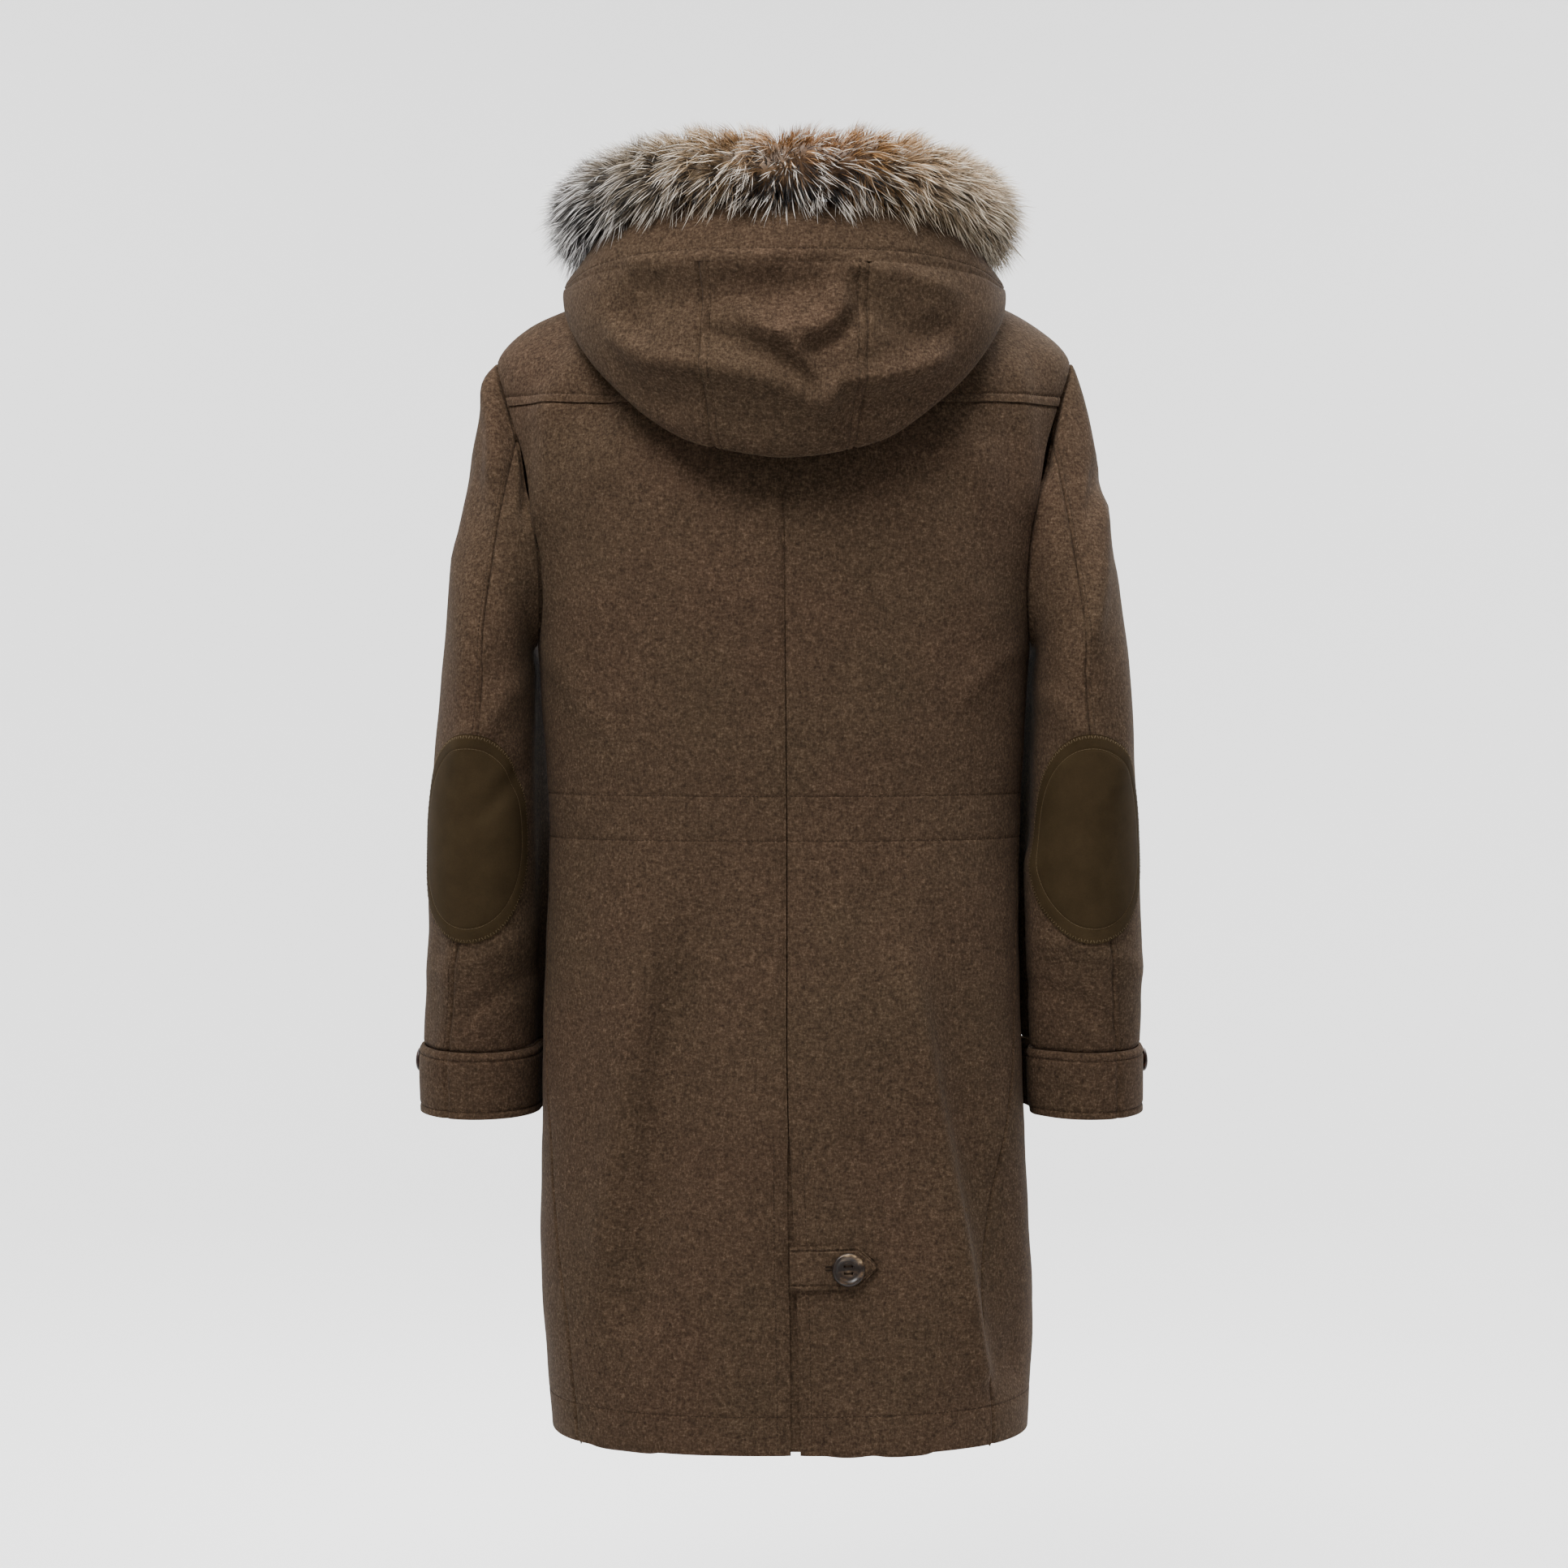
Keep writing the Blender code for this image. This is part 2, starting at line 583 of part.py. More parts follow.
def make_yoke():
    rows = ARM_RUNS[YOKE_ROW::-1] + neck_rows()
    shares = steps(20, -1.0, 1.0)

    def surface(a, b):
        left = back_point(np.abs(a), b, 1)
        right = back_point(np.abs(a), b, -1)
        return np.where((a >= 0)[..., None], left, right)

    cloth("back_yoke", surface, shares, rows, -1,
          ("column first", "column last", "row first", "row last"))


def make_fronts():
    rows = lower_rows() + ARM_RUNS[::-1] + neck_rows()
    for side, name in ((1, "front_left"), (-1, "front_right")):
        cloth(name, lambda a, b: front_point(a, b, side), steps(10), rows, side,
              ("column first", "column last", "row last"))


# ---- Sleeves ------------------------------------------------------------------------
def make_sleeves():
    length = SLEEVE[0].z - SLEEVE[-1].z
    downs = steps(7) + steps(8, CAP_END, CAP_END + length)[1:]
    upper_columns = BACK_SLEEVE_SEAM + ARM_COLUMNS - FRONT_SLEEVE_SEAM
    under_columns = FRONT_SLEEVE_SEAM - BACK_SLEEVE_SEAM
    for side, word in ((1, "left"), (-1, "right")):
        for upper, count, part in ((True, upper_columns, "upper"),
                                   (False, under_columns, "under")):
            def surface(a, b, upper=upper):
                return sleeve_point(sleeve_turn(a, b, upper), b, side)

            cloth(f"sleeve_{word}_{part}", surface, steps(count), downs, -side,
                  ("column first", "column last", "row last"))
        make_cuff(side, word)
        make_patch(side, word)


def cuff_point(turn, down, side):
    """The cuff hangs straight on from the sleeve's end, standing CUFF_FLARE off it."""
    z = SLEEVE[-1].z
    point = sleeve_ring(turn, np.full_like(turn, z), side, CUFF_FLARE)
    point[..., 2] -= down
    point[..., 1] -= down * CUFF_LEAN
    return point


def make_cuff(side, word):
    turns = steps(ARM_COLUMNS)[:-1]
    downs = [SEAM_GAP / 2, 0.004, CUFF_HEIGHT / 2, CUFF_HEIGHT - 0.003, CUFF_HEIGHT]
    cloth(f"cuff_{word}", lambda a, b: cuff_point(a, b, side), turns, downs, -side,
          ring=True)
    middle = np.array([[CUFF_BUTTON["turn"]]])
    down = np.array([[CUFF_BUTTON["down"]]])
    surface = lambda a, b: cuff_point(a, b, side)
    make_button(f"cuff_button_{word}", CUFF_BUTTON, surface(middle, down)[0, 0],
                outward(surface, middle, down, -side)[0, 0])


def make_patch(side, word, rings=6, spokes=28):
    """The oval elbow patch, made on the sleeve's own face."""
    def spread(a, b):
        turn = PATCH_PLACE[word] + a * np.cos(b) * PATCH_HALF_TURN
        z = PATCH_HEIGHT + a * np.sin(b) * PATCH_LENGTH / 2
        return turn, CAP_END + SLEEVE[0].z - z

    def surface(a, b):
        return sleeve_point(*spread(a, b), side)

    def normal_at(a, b):
        return outward(lambda t, d: sleeve_point(t, d, side), *spread(a, b), -side)

    disc(f"elbow_patch_{word}", SUEDE, surface, normal_at, rings, spokes,
         OVERLAY_LIFT, PATCH_THICKNESS)


def disc(name, finish, surface, normal_at, rings, spokes, lift, thick):
    """A closed round wall lying on a surface, from its middle out."""
    bm = bmesh.new()
    skins = []
    angles = np.array([2 * pi * i / spokes for i in range(spokes)])
    for height in (lift + thick, lift):
        a = np.zeros((1, 1))
        b = np.zeros((1, 1))
        middle = bm.verts.new((surface(a, b) + normal_at(a, b) * height)[0, 0])
        circles = []
        for ring in range(1, rings + 1):
            a, b = np.full((1, spokes), ring / rings), angles[None, :]
            points = (surface(a, b) + normal_at(a, b) * height)[0]
            circles.append([bm.verts.new(point) for point in points])
        skins.append((middle, circles))
    for middle, circles in skins:
        for i in range(spokes):
            j = (i + 1) % spokes
            bm.faces.new((middle, circles[0][i], circles[0][j]))
            for low, high in zip(circles, circles[1:]):
                bm.faces.new((low[i], high[i], high[j], low[j]))
    top, under = skins[0][1][-1], skins[1][1][-1]
    for i in range(spokes):
        j = (i + 1) % spokes
        bm.faces.new((top[i], under[i], under[j], top[j]))
    return keep(bm, name, finish)


# ---- Hood and fur -------------------------------------------------------------------
def make_hood():
    bag = [0.0, 0.06, 0.13, 0.22, 0.31, 0.40, 0.48, 0.56, 0.64, 0.74, RIM_SHARE]
    band = [RIM_SHARE, 0.89, 0.95, 1.0]
    seams = ("column first", "column last", "row first", "row last")
    half = HOOD_CENTRE_PANEL
    side_angles = steps(16, half, HOOD_END)
    cloth("hood_centre", hood_point, steps(8, -half, half), bag, -1, seams)
    cloth("hood_left", hood_point, side_angles, bag, -1, seams)
    cloth("hood_right", hood_point, [-a for a in side_angles], bag, -1, seams)
    all_angles = ([-a for a in side_angles[::-1]] + steps(8, -half, half)[1:-1]
                  + side_angles)
    cloth("hood_band", hood_point, all_angles, band, -1, ("row first",))


def make_fur(spokes=12):
    """The fur's roll: a lumpy tube seated along the hood's edge."""
    angles = np.array(steps(44, -HOOD_END + 1, HOOD_END - 1))
    edge = hood_point(angles, np.ones_like(angles))
    below = hood_point(angles, np.full_like(angles, BAND_SHARE))
    rise = edge - below
    rise /= np.linalg.norm(rise, axis=-1, keepdims=True)
    rise[:, 2] += FUR_UPRIGHT
    rise /= np.linalg.norm(rise, axis=-1, keepdims=True)
    path = np.gradient(edge, axis=0)
    path /= np.linalg.norm(path, axis=-1, keepdims=True)
    out = np.cross(path, rise)
    size = np.abs(angles)
    radius = smooth(column(RUFF, "angle"), column(RUFF, "radius"), size)
    flat = smooth(column(RUFF, "angle"), column(RUFF, "flat"), size)
    middle = edge + rise * (radius + FUR_CLEAR)[:, None]
    bm = bmesh.new()
    circles = []
    for i in range(len(angles)):
        circle = []
        for k in range(spokes):
            turn = 2 * pi * k / spokes
            lump = 1 + FUR_LUMP * sin(3 * turn + FUR_WANDER * i) * (1 - cos(turn)) / 2
            along = -cos(turn) * radius[i] * lump
            aside = sin(turn) * radius[i] * flat[i] * lump
            circle.append(bm.verts.new(middle[i] + rise[i] * along + out[i] * aside))
        circles.append(circle)
    for low, high in zip(circles, circles[1:]):
        for k in range(spokes):
            j = (k + 1) % spokes
            bm.faces.new((low[k], low[j], high[j], high[k]))
    bm.faces.new(circles[0])
    bm.faces.new(circles[-1])
    return keep(bm, "fur_ruff", FUR)


# ---- Vent tab, pockets and buttons --------------------------------------------------
def panel_patch(name, box, side, columns, rows, lift, thick=CLOTH):
    """A pocket or flap on a front, with rounded lower corners."""
    width = box["outer"] - box["inner"]

    def surface(a, b):
        z = box["top"] + (box["bottom"] - box["top"]) * b
        near = np.clip((box["bottom"] + box["corner"] - z) / box["corner"], 0, 1)
        inset = box["corner"] * (1 - np.sqrt(np.clip(1 - near ** 2, 0, 1))) * 0.999
        x = box["inner"] + inset + (width - 2 * inset) * a
        angle, run = place_at(x, z)
        return body_point(-angle, run, side)

    heights = steps(rows - 3, 0, 1 - box["corner"] / (box["top"] - box["bottom"]))
    corner = [1 - box["corner"] / (box["top"] - box["bottom"]) * (1 - sin(radians(t)))
              for t in (35, 65, 90)]
    a, b = grid(steps(columns), heights + corner)
    angle_normal = body_normal_at(surface(a, b), side)
    base = surface(a, b)
    return wall(name, WOOL, base + angle_normal * (lift + thick),
                base + angle_normal * lift)


def body_normal_at(points, side):
    """Outward normals of the front's face at points that lie on it."""
    angle, run = place_at(points[..., 0] * side, points[..., 2])
    return outward(lambda t, r: body_point(t, r, side), -angle, run, side)


def make_pockets():
    for side, word in ((1, "left"), (-1, "right")):
        panel_patch(f"pocket_{word}", POCKET, side, 10, 9, POCKET_LIFT)
        panel_patch(f"pocket_flap_{word}", FLAP, side, 10, 6,
                    POCKET_LIFT + CLOTH + OVERLAY_LIFT)


def make_vent_tab():
    """A pointed tab from the left panel's edge across the vent."""
    length = TAB["point"] - TAB["start"]
    shoulder = (TAB["shoulder"] - TAB["start"]) / length

    def surface(a, b):
        taper = np.clip((a - shoulder) / (1 - shoulder), 0, 1)
        x = TAB["start"] + length * a
        z = TAB["middle"] + TAB["half"] * b * (1 - taper * 0.94)
        angle, run = place_at(x, z)
        return body_point(angle, run, -1)

    across = steps(5, 0, shoulder) + steps(2, shoulder, 1)[1:]
    a, b = grid(across, steps(4, -1, 1))
    base = surface(a, b)
    normal = np.zeros_like(base)
    normal[..., 1] = 1.0
    wall("vent_tab", WOOL, base + normal * (TAB_LIFT + CLOTH), base + normal * TAB_LIFT)


def make_button(name, size, place, normal, lift=0.0):
    """A turned button with a raised rim and four holes, lying on a face."""
    radius = size["radius"]
    high = size["thickness"]
    profile = ((0.0, 0.60), (0.66, 0.60), (0.80, 1.0), (0.92, 1.0), (1.0, 0.60),
               (0.86, 0.0), (0.0, 0.0))
    mesh = bpy.data.meshes.new(name)
    points = [(r * radius, 0, z * high) for r, z in profile]
    mesh.from_pydata(points, [(i, i + 1) for i in range(len(points) - 1)], [])
    button = bpy.data.objects.new(name, mesh)
    PARKA.objects.link(button)
    own = material(HORN).copy()
    own.name = name
    mesh.materials.append(own)
    turn = button.modifiers.new("turn", "SCREW")
    turn.steps = BUTTON_SIDES
    turn.render_steps = BUTTON_SIDES
    turn.use_merge_vertices = True
    turn.merge_threshold = 0.00005
    turn.use_normal_calculate = True
    drill = bpy.data.objects.get("button_drill_%s" % radius)
    if drill is None:
        drill = make_drill(radius, high)
    cut = button.modifiers.new("holes", "BOOLEAN")
    cut.object = drill
    cut.operation = "DIFFERENCE"
    mesh.shade_smooth()
    direction = Vector(normal).normalized()
    button.rotation_mode = "QUATERNION"
    button.rotation_quaternion = direction.to_track_quat("Z", "Y")
    button.location = Vector(place) + direction * (SEAM_GAP + lift)
    drill_here = drill.copy()
    drill_here.name = name + "_drill"
    drill_here.rotation_mode = "QUATERNION"
    drill_here.rotation_quaternion = button.rotation_quaternion
    drill_here.location = button.location
    CUTTERS.objects.link(drill_here)
    cut.object = drill_here
    return button


def make_drill(radius, high):
    """Four pins that cut a button's holes."""
    bm = bmesh.new()
    for x, y in ((1, 1), (1, -1), (-1, -1), (-1, 1)):
        made = bmesh.ops.create_cone(bm, cap_ends=True, segments=6, radius1=radius * 0.09,
                                     radius2=radius * 0.09, depth=high * 4)
        bmesh.ops.translate(bm, verts=made["verts"],
                            vec=(x * radius * 0.21, y * radius * 0.21, 0))
    mesh = bpy.data.meshes.new("button_drill_%s" % radius)
    bm.to_mesh(mesh)
    bm.free()
    drill = bpy.data.objects.new(mesh.name, mesh)
    drill.hide_render = True
    drill.display_type = "WIRE"
    CUTTERS.objects.link(drill)
    return drill


def button_on_body(name, size, angle, run, lift=0.0):
    """A button lying on the body's face, or on what is lifted off it there."""
    angle = np.atleast_1d(angle).astype(float)
    run = np.atleast_1d(run).astype(float)
    place = body_point(angle, run, -1)
    normal = outward(lambda a, r: body_point(a, r, -1), angle, run, 1)[0]
    if normal[1] * sin(radians(angle[0])) < 0:
        normal = -normal
    make_button(name, size, place[0], normal, lift)


def make_buttons():
    x = np.array([VENT_BUTTON["x"]])
    z = np.array([VENT_BUTTON["z"]])
    angle, run = place_at(x, z)
    button_on_body("vent_button", VENT_BUTTON, angle, run, TAB_LIFT + CLOTH + SEAM_GAP)
    for number, height in enumerate(FRONT_BUTTON_HEIGHTS, 1):
        run = np.interp(height, column(BODY, "front_z"), RUNS)
        button_on_body(f"front_button_{number}", FRONT_BUTTON, -90.0, run)


# ---- The parka ----------------------------------------------------------------------
for old in list(bpy.data.objects):
    bpy.data.objects.remove(old)
PARKA = bpy.data.collections.new("parka")
CUTTERS = bpy.data.collections.new("cutters")
for collection in (PARKA, CUTTERS):
    bpy.context.scene.collection.children.link(collection)

make_back_panels()
make_underlap()
make_yoke()
make_fronts()
make_sleeves()
make_hood()
make_fur()
make_pockets()
make_vent_tab()
make_buttons()
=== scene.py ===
"""Looks of the parka: fine cloth shells, stitching, patches, buttons and fur.

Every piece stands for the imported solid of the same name. The section tables and surface
functions give the same forms as the solids, apart from the sleeves' hug; the shells here
are finer, with the folds and creases that the cloth shows, and the seams' sewing.
"""
from collections import namedtuple
from math import cos, pi, radians, sin

import bpy
import numpy as np
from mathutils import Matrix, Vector


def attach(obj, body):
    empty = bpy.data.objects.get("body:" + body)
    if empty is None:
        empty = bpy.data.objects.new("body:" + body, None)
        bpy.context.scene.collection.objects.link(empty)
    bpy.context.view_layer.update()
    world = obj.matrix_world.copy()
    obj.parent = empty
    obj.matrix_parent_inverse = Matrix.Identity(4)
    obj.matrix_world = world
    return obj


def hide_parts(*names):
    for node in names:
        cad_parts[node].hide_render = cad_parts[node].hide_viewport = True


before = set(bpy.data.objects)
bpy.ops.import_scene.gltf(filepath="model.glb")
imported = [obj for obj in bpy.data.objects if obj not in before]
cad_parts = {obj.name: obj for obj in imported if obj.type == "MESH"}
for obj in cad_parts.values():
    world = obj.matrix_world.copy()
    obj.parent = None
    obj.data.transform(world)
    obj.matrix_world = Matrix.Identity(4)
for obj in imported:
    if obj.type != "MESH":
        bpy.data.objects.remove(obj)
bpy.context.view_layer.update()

# ---- Sizes shared with the solids ---------------------------------------------------
CLOTH = 0.0025              # coating cloth with its backing
SEAM_GAP = 0.0003           # between neighbouring pieces
OVERLAY_LIFT = 0.0007       # between a panel and a piece lying on it, at their vertices
NECK_GAP = 0.00055          # between the body's neckline and the hood
POCKET_LIFT = 0.0013        # as OVERLAY_LIFT, where the panel is folded or sharply curved
TAB_LIFT = 0.0018
EPS = 1e-4                  # parameter step for surface normals

ARM_COLUMNS = 24            # columns round an armhole and its sleeve
YOKE_ROW = 3                # armhole row, counted from the shoulder tip, of the yoke seam
BACK_SLEEVE_SEAM = 4        # armhole rows where the sleeve's two seams start
FRONT_SLEEVE_SEAM = 17
ARMHOLE_BACK = 20.5         # half widths of the armhole, in degrees round the body
ARMHOLE_FRONT = 36.0

VENT_TOP = -0.715
VENT_OPENING = 0.0066       # at the hem
VENT_CURVE = 0.4            # how soon it opens below its top
DRIFT_TOP = -0.2            # below this the centre seam drifts aside
UNDERLAP = dict(clear=0.0018, start=0.0015, reach=0.038, top=-0.700, bottom=-0.9635,
                thickness=0.0018)
CENTRE_SEAM_DRIFT = -0.0046

PATCH_LENGTH = 0.171
PATCH_THICKNESS = 0.0016
PATCH_HEIGHT = -0.4710
PATCH_HALF_TURN = 0.195     # half its width, as a share of the way round the sleeve
PATCH_PLACE = dict(left=0.222, right=0.243)     # round the sleeve from its outer edge

FRONT_LAP = 0.024           # how far the left front laps past the middle
POCKET = dict(inner=0.062, outer=0.187, top=-0.578, bottom=-0.756, corner=0.022)
FLAP = dict(inner=0.059, outer=0.190, top=-0.558, bottom=-0.626, corner=0.012)

TAB = dict(start=-0.0046, shoulder=-0.0595, point=-0.0755, middle=-0.8155, half=0.0175)
FRONT_BUTTONS = 4

FUR_CLEAR = 0.0004
FUR_UPRIGHT = 1.5           # how far the roll stands up from the band's own slope

# ---- Section tables -----------------------------------------------------------------
Section = namedtuple("Section", "name side_z back_z front_z half back front power shift")
BODY = (
    Section("hem", -0.966, -0.966, -0.966, 0.2005, 0.158, 0.144, 2.60, -0.0048),
    Section("skirt", -0.864, -0.864, -0.864, 0.2068, 0.150, 0.140, 2.60, -0.0032),
    Section("low hip", -0.761, -0.761, -0.761, 0.2050, 0.141, 0.136, 2.50, -0.0005),
    Section("hip", -0.660, -0.660, -0.660, 0.2024, 0.134, 0.131, 2.45, 0.0015),
    Section("high hip", -0.560, -0.560, -0.560, 0.2002, 0.125, 0.126, 2.40, 0.0008),
    Section("waist", -0.454, -0.454, -0.454, 0.1988, 0.118, 0.121, 2.35, 0.0),
    Section("rib", -0.380, -0.380, -0.380, 0.2030, 0.123, 0.124, 2.30, 0.0),
    Section("armpit", -0.312, -0.312, -0.312, 0.2070, 0.127, 0.124, 2.25, 0.0),
    Section("blade", -0.220, -0.220, -0.225, 0.2200, 0.128, 0.119, 2.20, 0.0),
    Section("across", -0.150, -0.150, -0.165, 0.2320, 0.124, 0.112, 2.10, 0.0),
    Section("yoke", -0.112, -0.114, -0.143, 0.2385, 0.119, 0.107, 1.95, 0.0),
    Section("tip", -0.073, -0.087, -0.122, 0.2415, 0.112, 0.101, 1.75, 0.0),
    Section("slope", -0.046, -0.064, -0.106, 0.2150, 0.104, 0.095, 1.60, 0.0),
    Section("mid", -0.024, -0.041, -0.092, 0.1700, 0.096, 0.088, 1.55, 0.0),
    Section("low neck", -0.008, -0.022, -0.080, 0.1200, 0.088, 0.082, 1.75, 0.0),
    Section("neckline", 0.003, -0.012, -0.072, 0.0860, 0.083, 0.078, 2.00, 0.0),
)

SideSeam = namedtuple("SideSeam", "z left right")       # degrees behind the true side
SIDE_SEAM = (
    SideSeam(-0.965, 34.0, 39.0),
    SideSeam(-0.864, 32.0, 39.0),
    SideSeam(-0.780, 25.0, 33.0),
    SideSeam(-0.660, 15.0, 20.0),
    SideSeam(-0.454, 8.0, 10.0),
    SideSeam(-0.312, 4.0, 4.0),
)

# Long soft folds on the back: x and z of both ends, half width, and height off the cloth.
Fold = namedtuple("Fold", "x0 z0 x1 z1 width height")
BACK_FOLDS = (
    Fold(0.060, -0.480, 0.118, -0.860, 0.030, -0.0060),
    Fold(0.118, -0.560, 0.155, -0.900, 0.030, 0.0030),
    Fold(-0.098, -0.560, -0.136, -0.720, 0.022, 0.0070),
    Fold(-0.136, -0.720, -0.166, -0.900, 0.020, 0.0060),
    Fold(-0.060, -0.640, -0.075, -0.930, 0.032, -0.0040),
    Fold(0.020, -0.600, 0.035, -0.930, 0.030, 0.0030),
    Fold(0.150, -0.135, 0.185, -0.230, 0.022, 0.0050),
    Fold(-0.150, -0.125, -0.185, -0.230, 0.022, 0.0050),
)
FRONT_FOLDS = (
    Fold(0.075, -0.230, 0.110, -0.440, 0.030, 0.0040),
    Fold(-0.070, -0.240, -0.105, -0.430, 0.030, 0.0040),
    Fold(0.090, -0.780, 0.120, -0.930, 0.030, 0.0045),
    Fold(-0.085, -0.780, -0.125, -0.930, 0.034, 0.0040),
)

# hug is how far the sleeve's inner front presses in towards the body's front corner: from
# the elbow down a little more than in the solids, so that no light shows between them.
Sleeve = namedtuple("Sleeve", "name z outer_left outer_right inner y depth tilt hug")
SLEEVE = (
    Sleeve("biceps", -0.335, 0.2880, 0.2885, 0.2095, 0.004, 0.078, 0.00, 0.046),
    Sleeve("upper arm", -0.400, 0.2935, 0.2945, 0.2090, 0.006, 0.074, 0.00, 0.054),
    Sleeve("elbow", -0.470, 0.2980, 0.2985, 0.2080, 0.007, 0.069, 0.02, 0.066),
    Sleeve("forearm", -0.560, 0.3022, 0.3025, 0.2080, 0.001, 0.063, 0.04, 0.074),
    Sleeve("cuff seam", -0.6495, 0.3060, 0.3022, 0.2100, -0.010, 0.056, 0.05, 0.060),
)
CUFF_HEIGHT = 0.056
CUFF_LEAN = 0.08            # forward for each metre down
CUFF_FLARE = 0.0034         # the cuff stands this far out from the sleeve's end

BackSeam = namedtuple("BackSeam", "z back front")       # shares of the way round
SLEEVE_SEAMS = (
    BackSeam(-0.335, 0.255, 0.700),
    BackSeam(-0.400, 0.245, 0.690),
    BackSeam(-0.470, 0.225, 0.680),
    BackSeam(-0.560, 0.195, 0.675),
    BackSeam(-0.6495, 0.168, 0.670),
)

# Hood profiles round the neck, from centre back (0) to the front. Each is a curve from
# the neckline over its stand, down the inside to the bottom of the bag and up the
# outside to the opening's edge: distances out from the neck's axis, and heights.
Profile = namedtuple(
    "Profile",
    "angle stand_r stand_z in_r in_z low_r low_z out_r out_z rim_r rim_z edge_r edge_z")
HOOD = (
    Profile(0, 0.094, 0.006, 0.120, -0.060, 0.157, -0.168, 0.192, -0.085, 0.190, 0.008,
            0.174, 0.038),
    Profile(35, 0.095, 0.009, 0.124, -0.042, 0.169, -0.139, 0.198, -0.070, 0.194, 0.006,
            0.176, 0.036),
    Profile(53, 0.096, 0.011, 0.131, -0.019, 0.181, -0.094, 0.200, -0.054, 0.193, -0.001,
            0.176, 0.026),
    Profile(70, 0.096, 0.013, 0.130, -0.002, 0.182, -0.048, 0.193, -0.036, 0.187, -0.010,
            0.170, 0.016),
    Profile(90, 0.095, 0.012, 0.122, 0.004, 0.158, -0.010, 0.178, -0.020, 0.180, -0.008,
            0.163, 0.010),
    Profile(120, 0.093, -0.004, 0.108, -0.004, 0.127, -0.010, 0.143, -0.014, 0.149, -0.006,
            0.143, 0.009),
    Profile(150, 0.087, -0.046, 0.094, -0.032, 0.101, -0.021, 0.107, -0.012, 0.110, -0.002,
            0.110, 0.008),
    Profile(172, 0.083, -0.058, 0.087, -0.045, 0.091, -0.033, 0.095, -0.022, 0.098, -0.012,
            0.099, -0.002),
)
HOOD_END = 172.0
HOOD_CENTRE_PANEL = 20.0    # half angle of the middle panel
HOOD_BLUNT = 7.0            # degrees over which the hood rounds off at its middle
RIM_SHARE = 0.84            # where the edge band starts along a profile
BAND_SHARE = 0.97           # a place on the band that gives its slope at the edge

Ruff = namedtuple("Ruff", "angle radius")       # the fur's roll along the opening
RUFF = (Ruff(0, 0.0345), Ruff(40, 0.0370), Ruff(80, 0.0410), Ruff(120, 0.0340),
        Ruff(150, 0.0250), Ruff(172, 0.0160))

# ---- Curves -------------------------------------------------------------------------
def smooth(knots, values, at):
    """A smooth curve through a table's column, read at one place or many."""
    knots = np.asarray(knots, dtype=float)
    values = np.asarray(values, dtype=float)
    at = np.clip(at, knots[0], knots[-1])
    slopes = np.gradient(values, knots)
    i = np.clip(np.searchsorted(knots, at, side="right") - 1, 0, len(knots) - 2)
    width = knots[i + 1] - knots[i]
    s = (at - knots[i]) / width
    rise = s * s * (3 - 2 * s)
    lead = s * (1 - s) ** 2 * width * slopes[i]
    trail = s * s * (s - 1) * width * slopes[i + 1]
    return values[i] * (1 - rise) + values[i + 1] * rise + lead + trail


def column(table, name):
    return [getattr(row, name) for row in table]


def read(table, key, name, at):
    """One column of a table, read smoothly at places in its key column."""
    return smooth(column(table, key), column(table, name), at)


def unit(vectors):
    return vectors / np.linalg.norm(vectors, axis=-1, keepdims=True)


def section_runs():
    """Distance of each body section from the hem, along the side and the back."""
    runs = [0.0]
    for low, high in zip(BODY, BODY[1:]):
        side = np.hypot(high.side_z - low.side_z, high.half - low.half)
        back = np.hypot(high.back_z - low.back_z, high.back - low.back)
        runs.append(runs[-1] + (side + back) / 2)
    return runs


BELOW_ARMPIT = 8            # sections from the hem up to the armpit, which are level
RUNS = section_runs()
RUN = {row.name: run for row, run in zip(BODY, RUNS)}


def body_column(name, run):
    return smooth(RUNS, column(BODY, name), run)


def run_at_height(z):
    """The run of a level section, for heights below the armpit."""
    return smooth(column(BODY[:BELOW_ARMPIT], "side_z"), RUNS[:BELOW_ARMPIT], z)


# ---- Body surface -------------------------------------------------------------------
def fold_height(folds, x, z):
    """How far the folds lift the cloth at x, z. Each fades out along and across."""
    lift = np.zeros_like(x)
    for fold in folds:
        along_x = fold.x1 - fold.x0
        along_z = fold.z1 - fold.z0
        length = np.hypot(along_x, along_z)
        s = ((x - fold.x0) * along_x + (z - fold.z0) * along_z) / length ** 2
        across = ((x - fold.x0) * along_z - (z - fold.z0) * along_x) / length
        end = np.clip(np.abs(s - 0.5) * 2, 0, 1.4)
        fade = np.clip(1.4 - end, 0, 1) ** 2
        lift += fold.height * fade * np.exp(-(across / fold.width) ** 2)
    return lift


def body_point(angle, run, side):
    """A point of the body's outer face. angle is in degrees: 0 at the true side, 90 at
    centre back, -90 at centre front. side is +1 for the wearer's left."""
    turn = np.radians(angle)
    c, s = np.cos(turn), np.sin(turn)
    power = 2 / body_column("power", run)
    behind = s > 0
    depth = np.where(behind, body_column("back", run), -body_column("front", run))
    end_z = np.where(behind, body_column("back_z", run), body_column("front_z", run))
    side_z = body_column("side_z", run)
    x = body_column("half", run) * np.sign(c) * np.abs(c) ** power
    y = depth * np.abs(s) ** power
    z = side_z + (end_z - side_z) * s * s
    x = side * x + body_column("shift", run)
    fade = np.clip(np.abs(s) * 2 - 0.5, 0, 1)
    y = y + fade * np.where(behind, fold_height(BACK_FOLDS, x, z),
                            -fold_height(FRONT_FOLDS, x, z))
    return np.stack([x, y, z], axis=-1)


def armhole_share(run):
    """0 at the armpit, 1 at the shoulder tip."""
    return np.clip((run - RUN["armpit"]) / (RUN["tip"] - RUN["armpit"]), 0, 1)


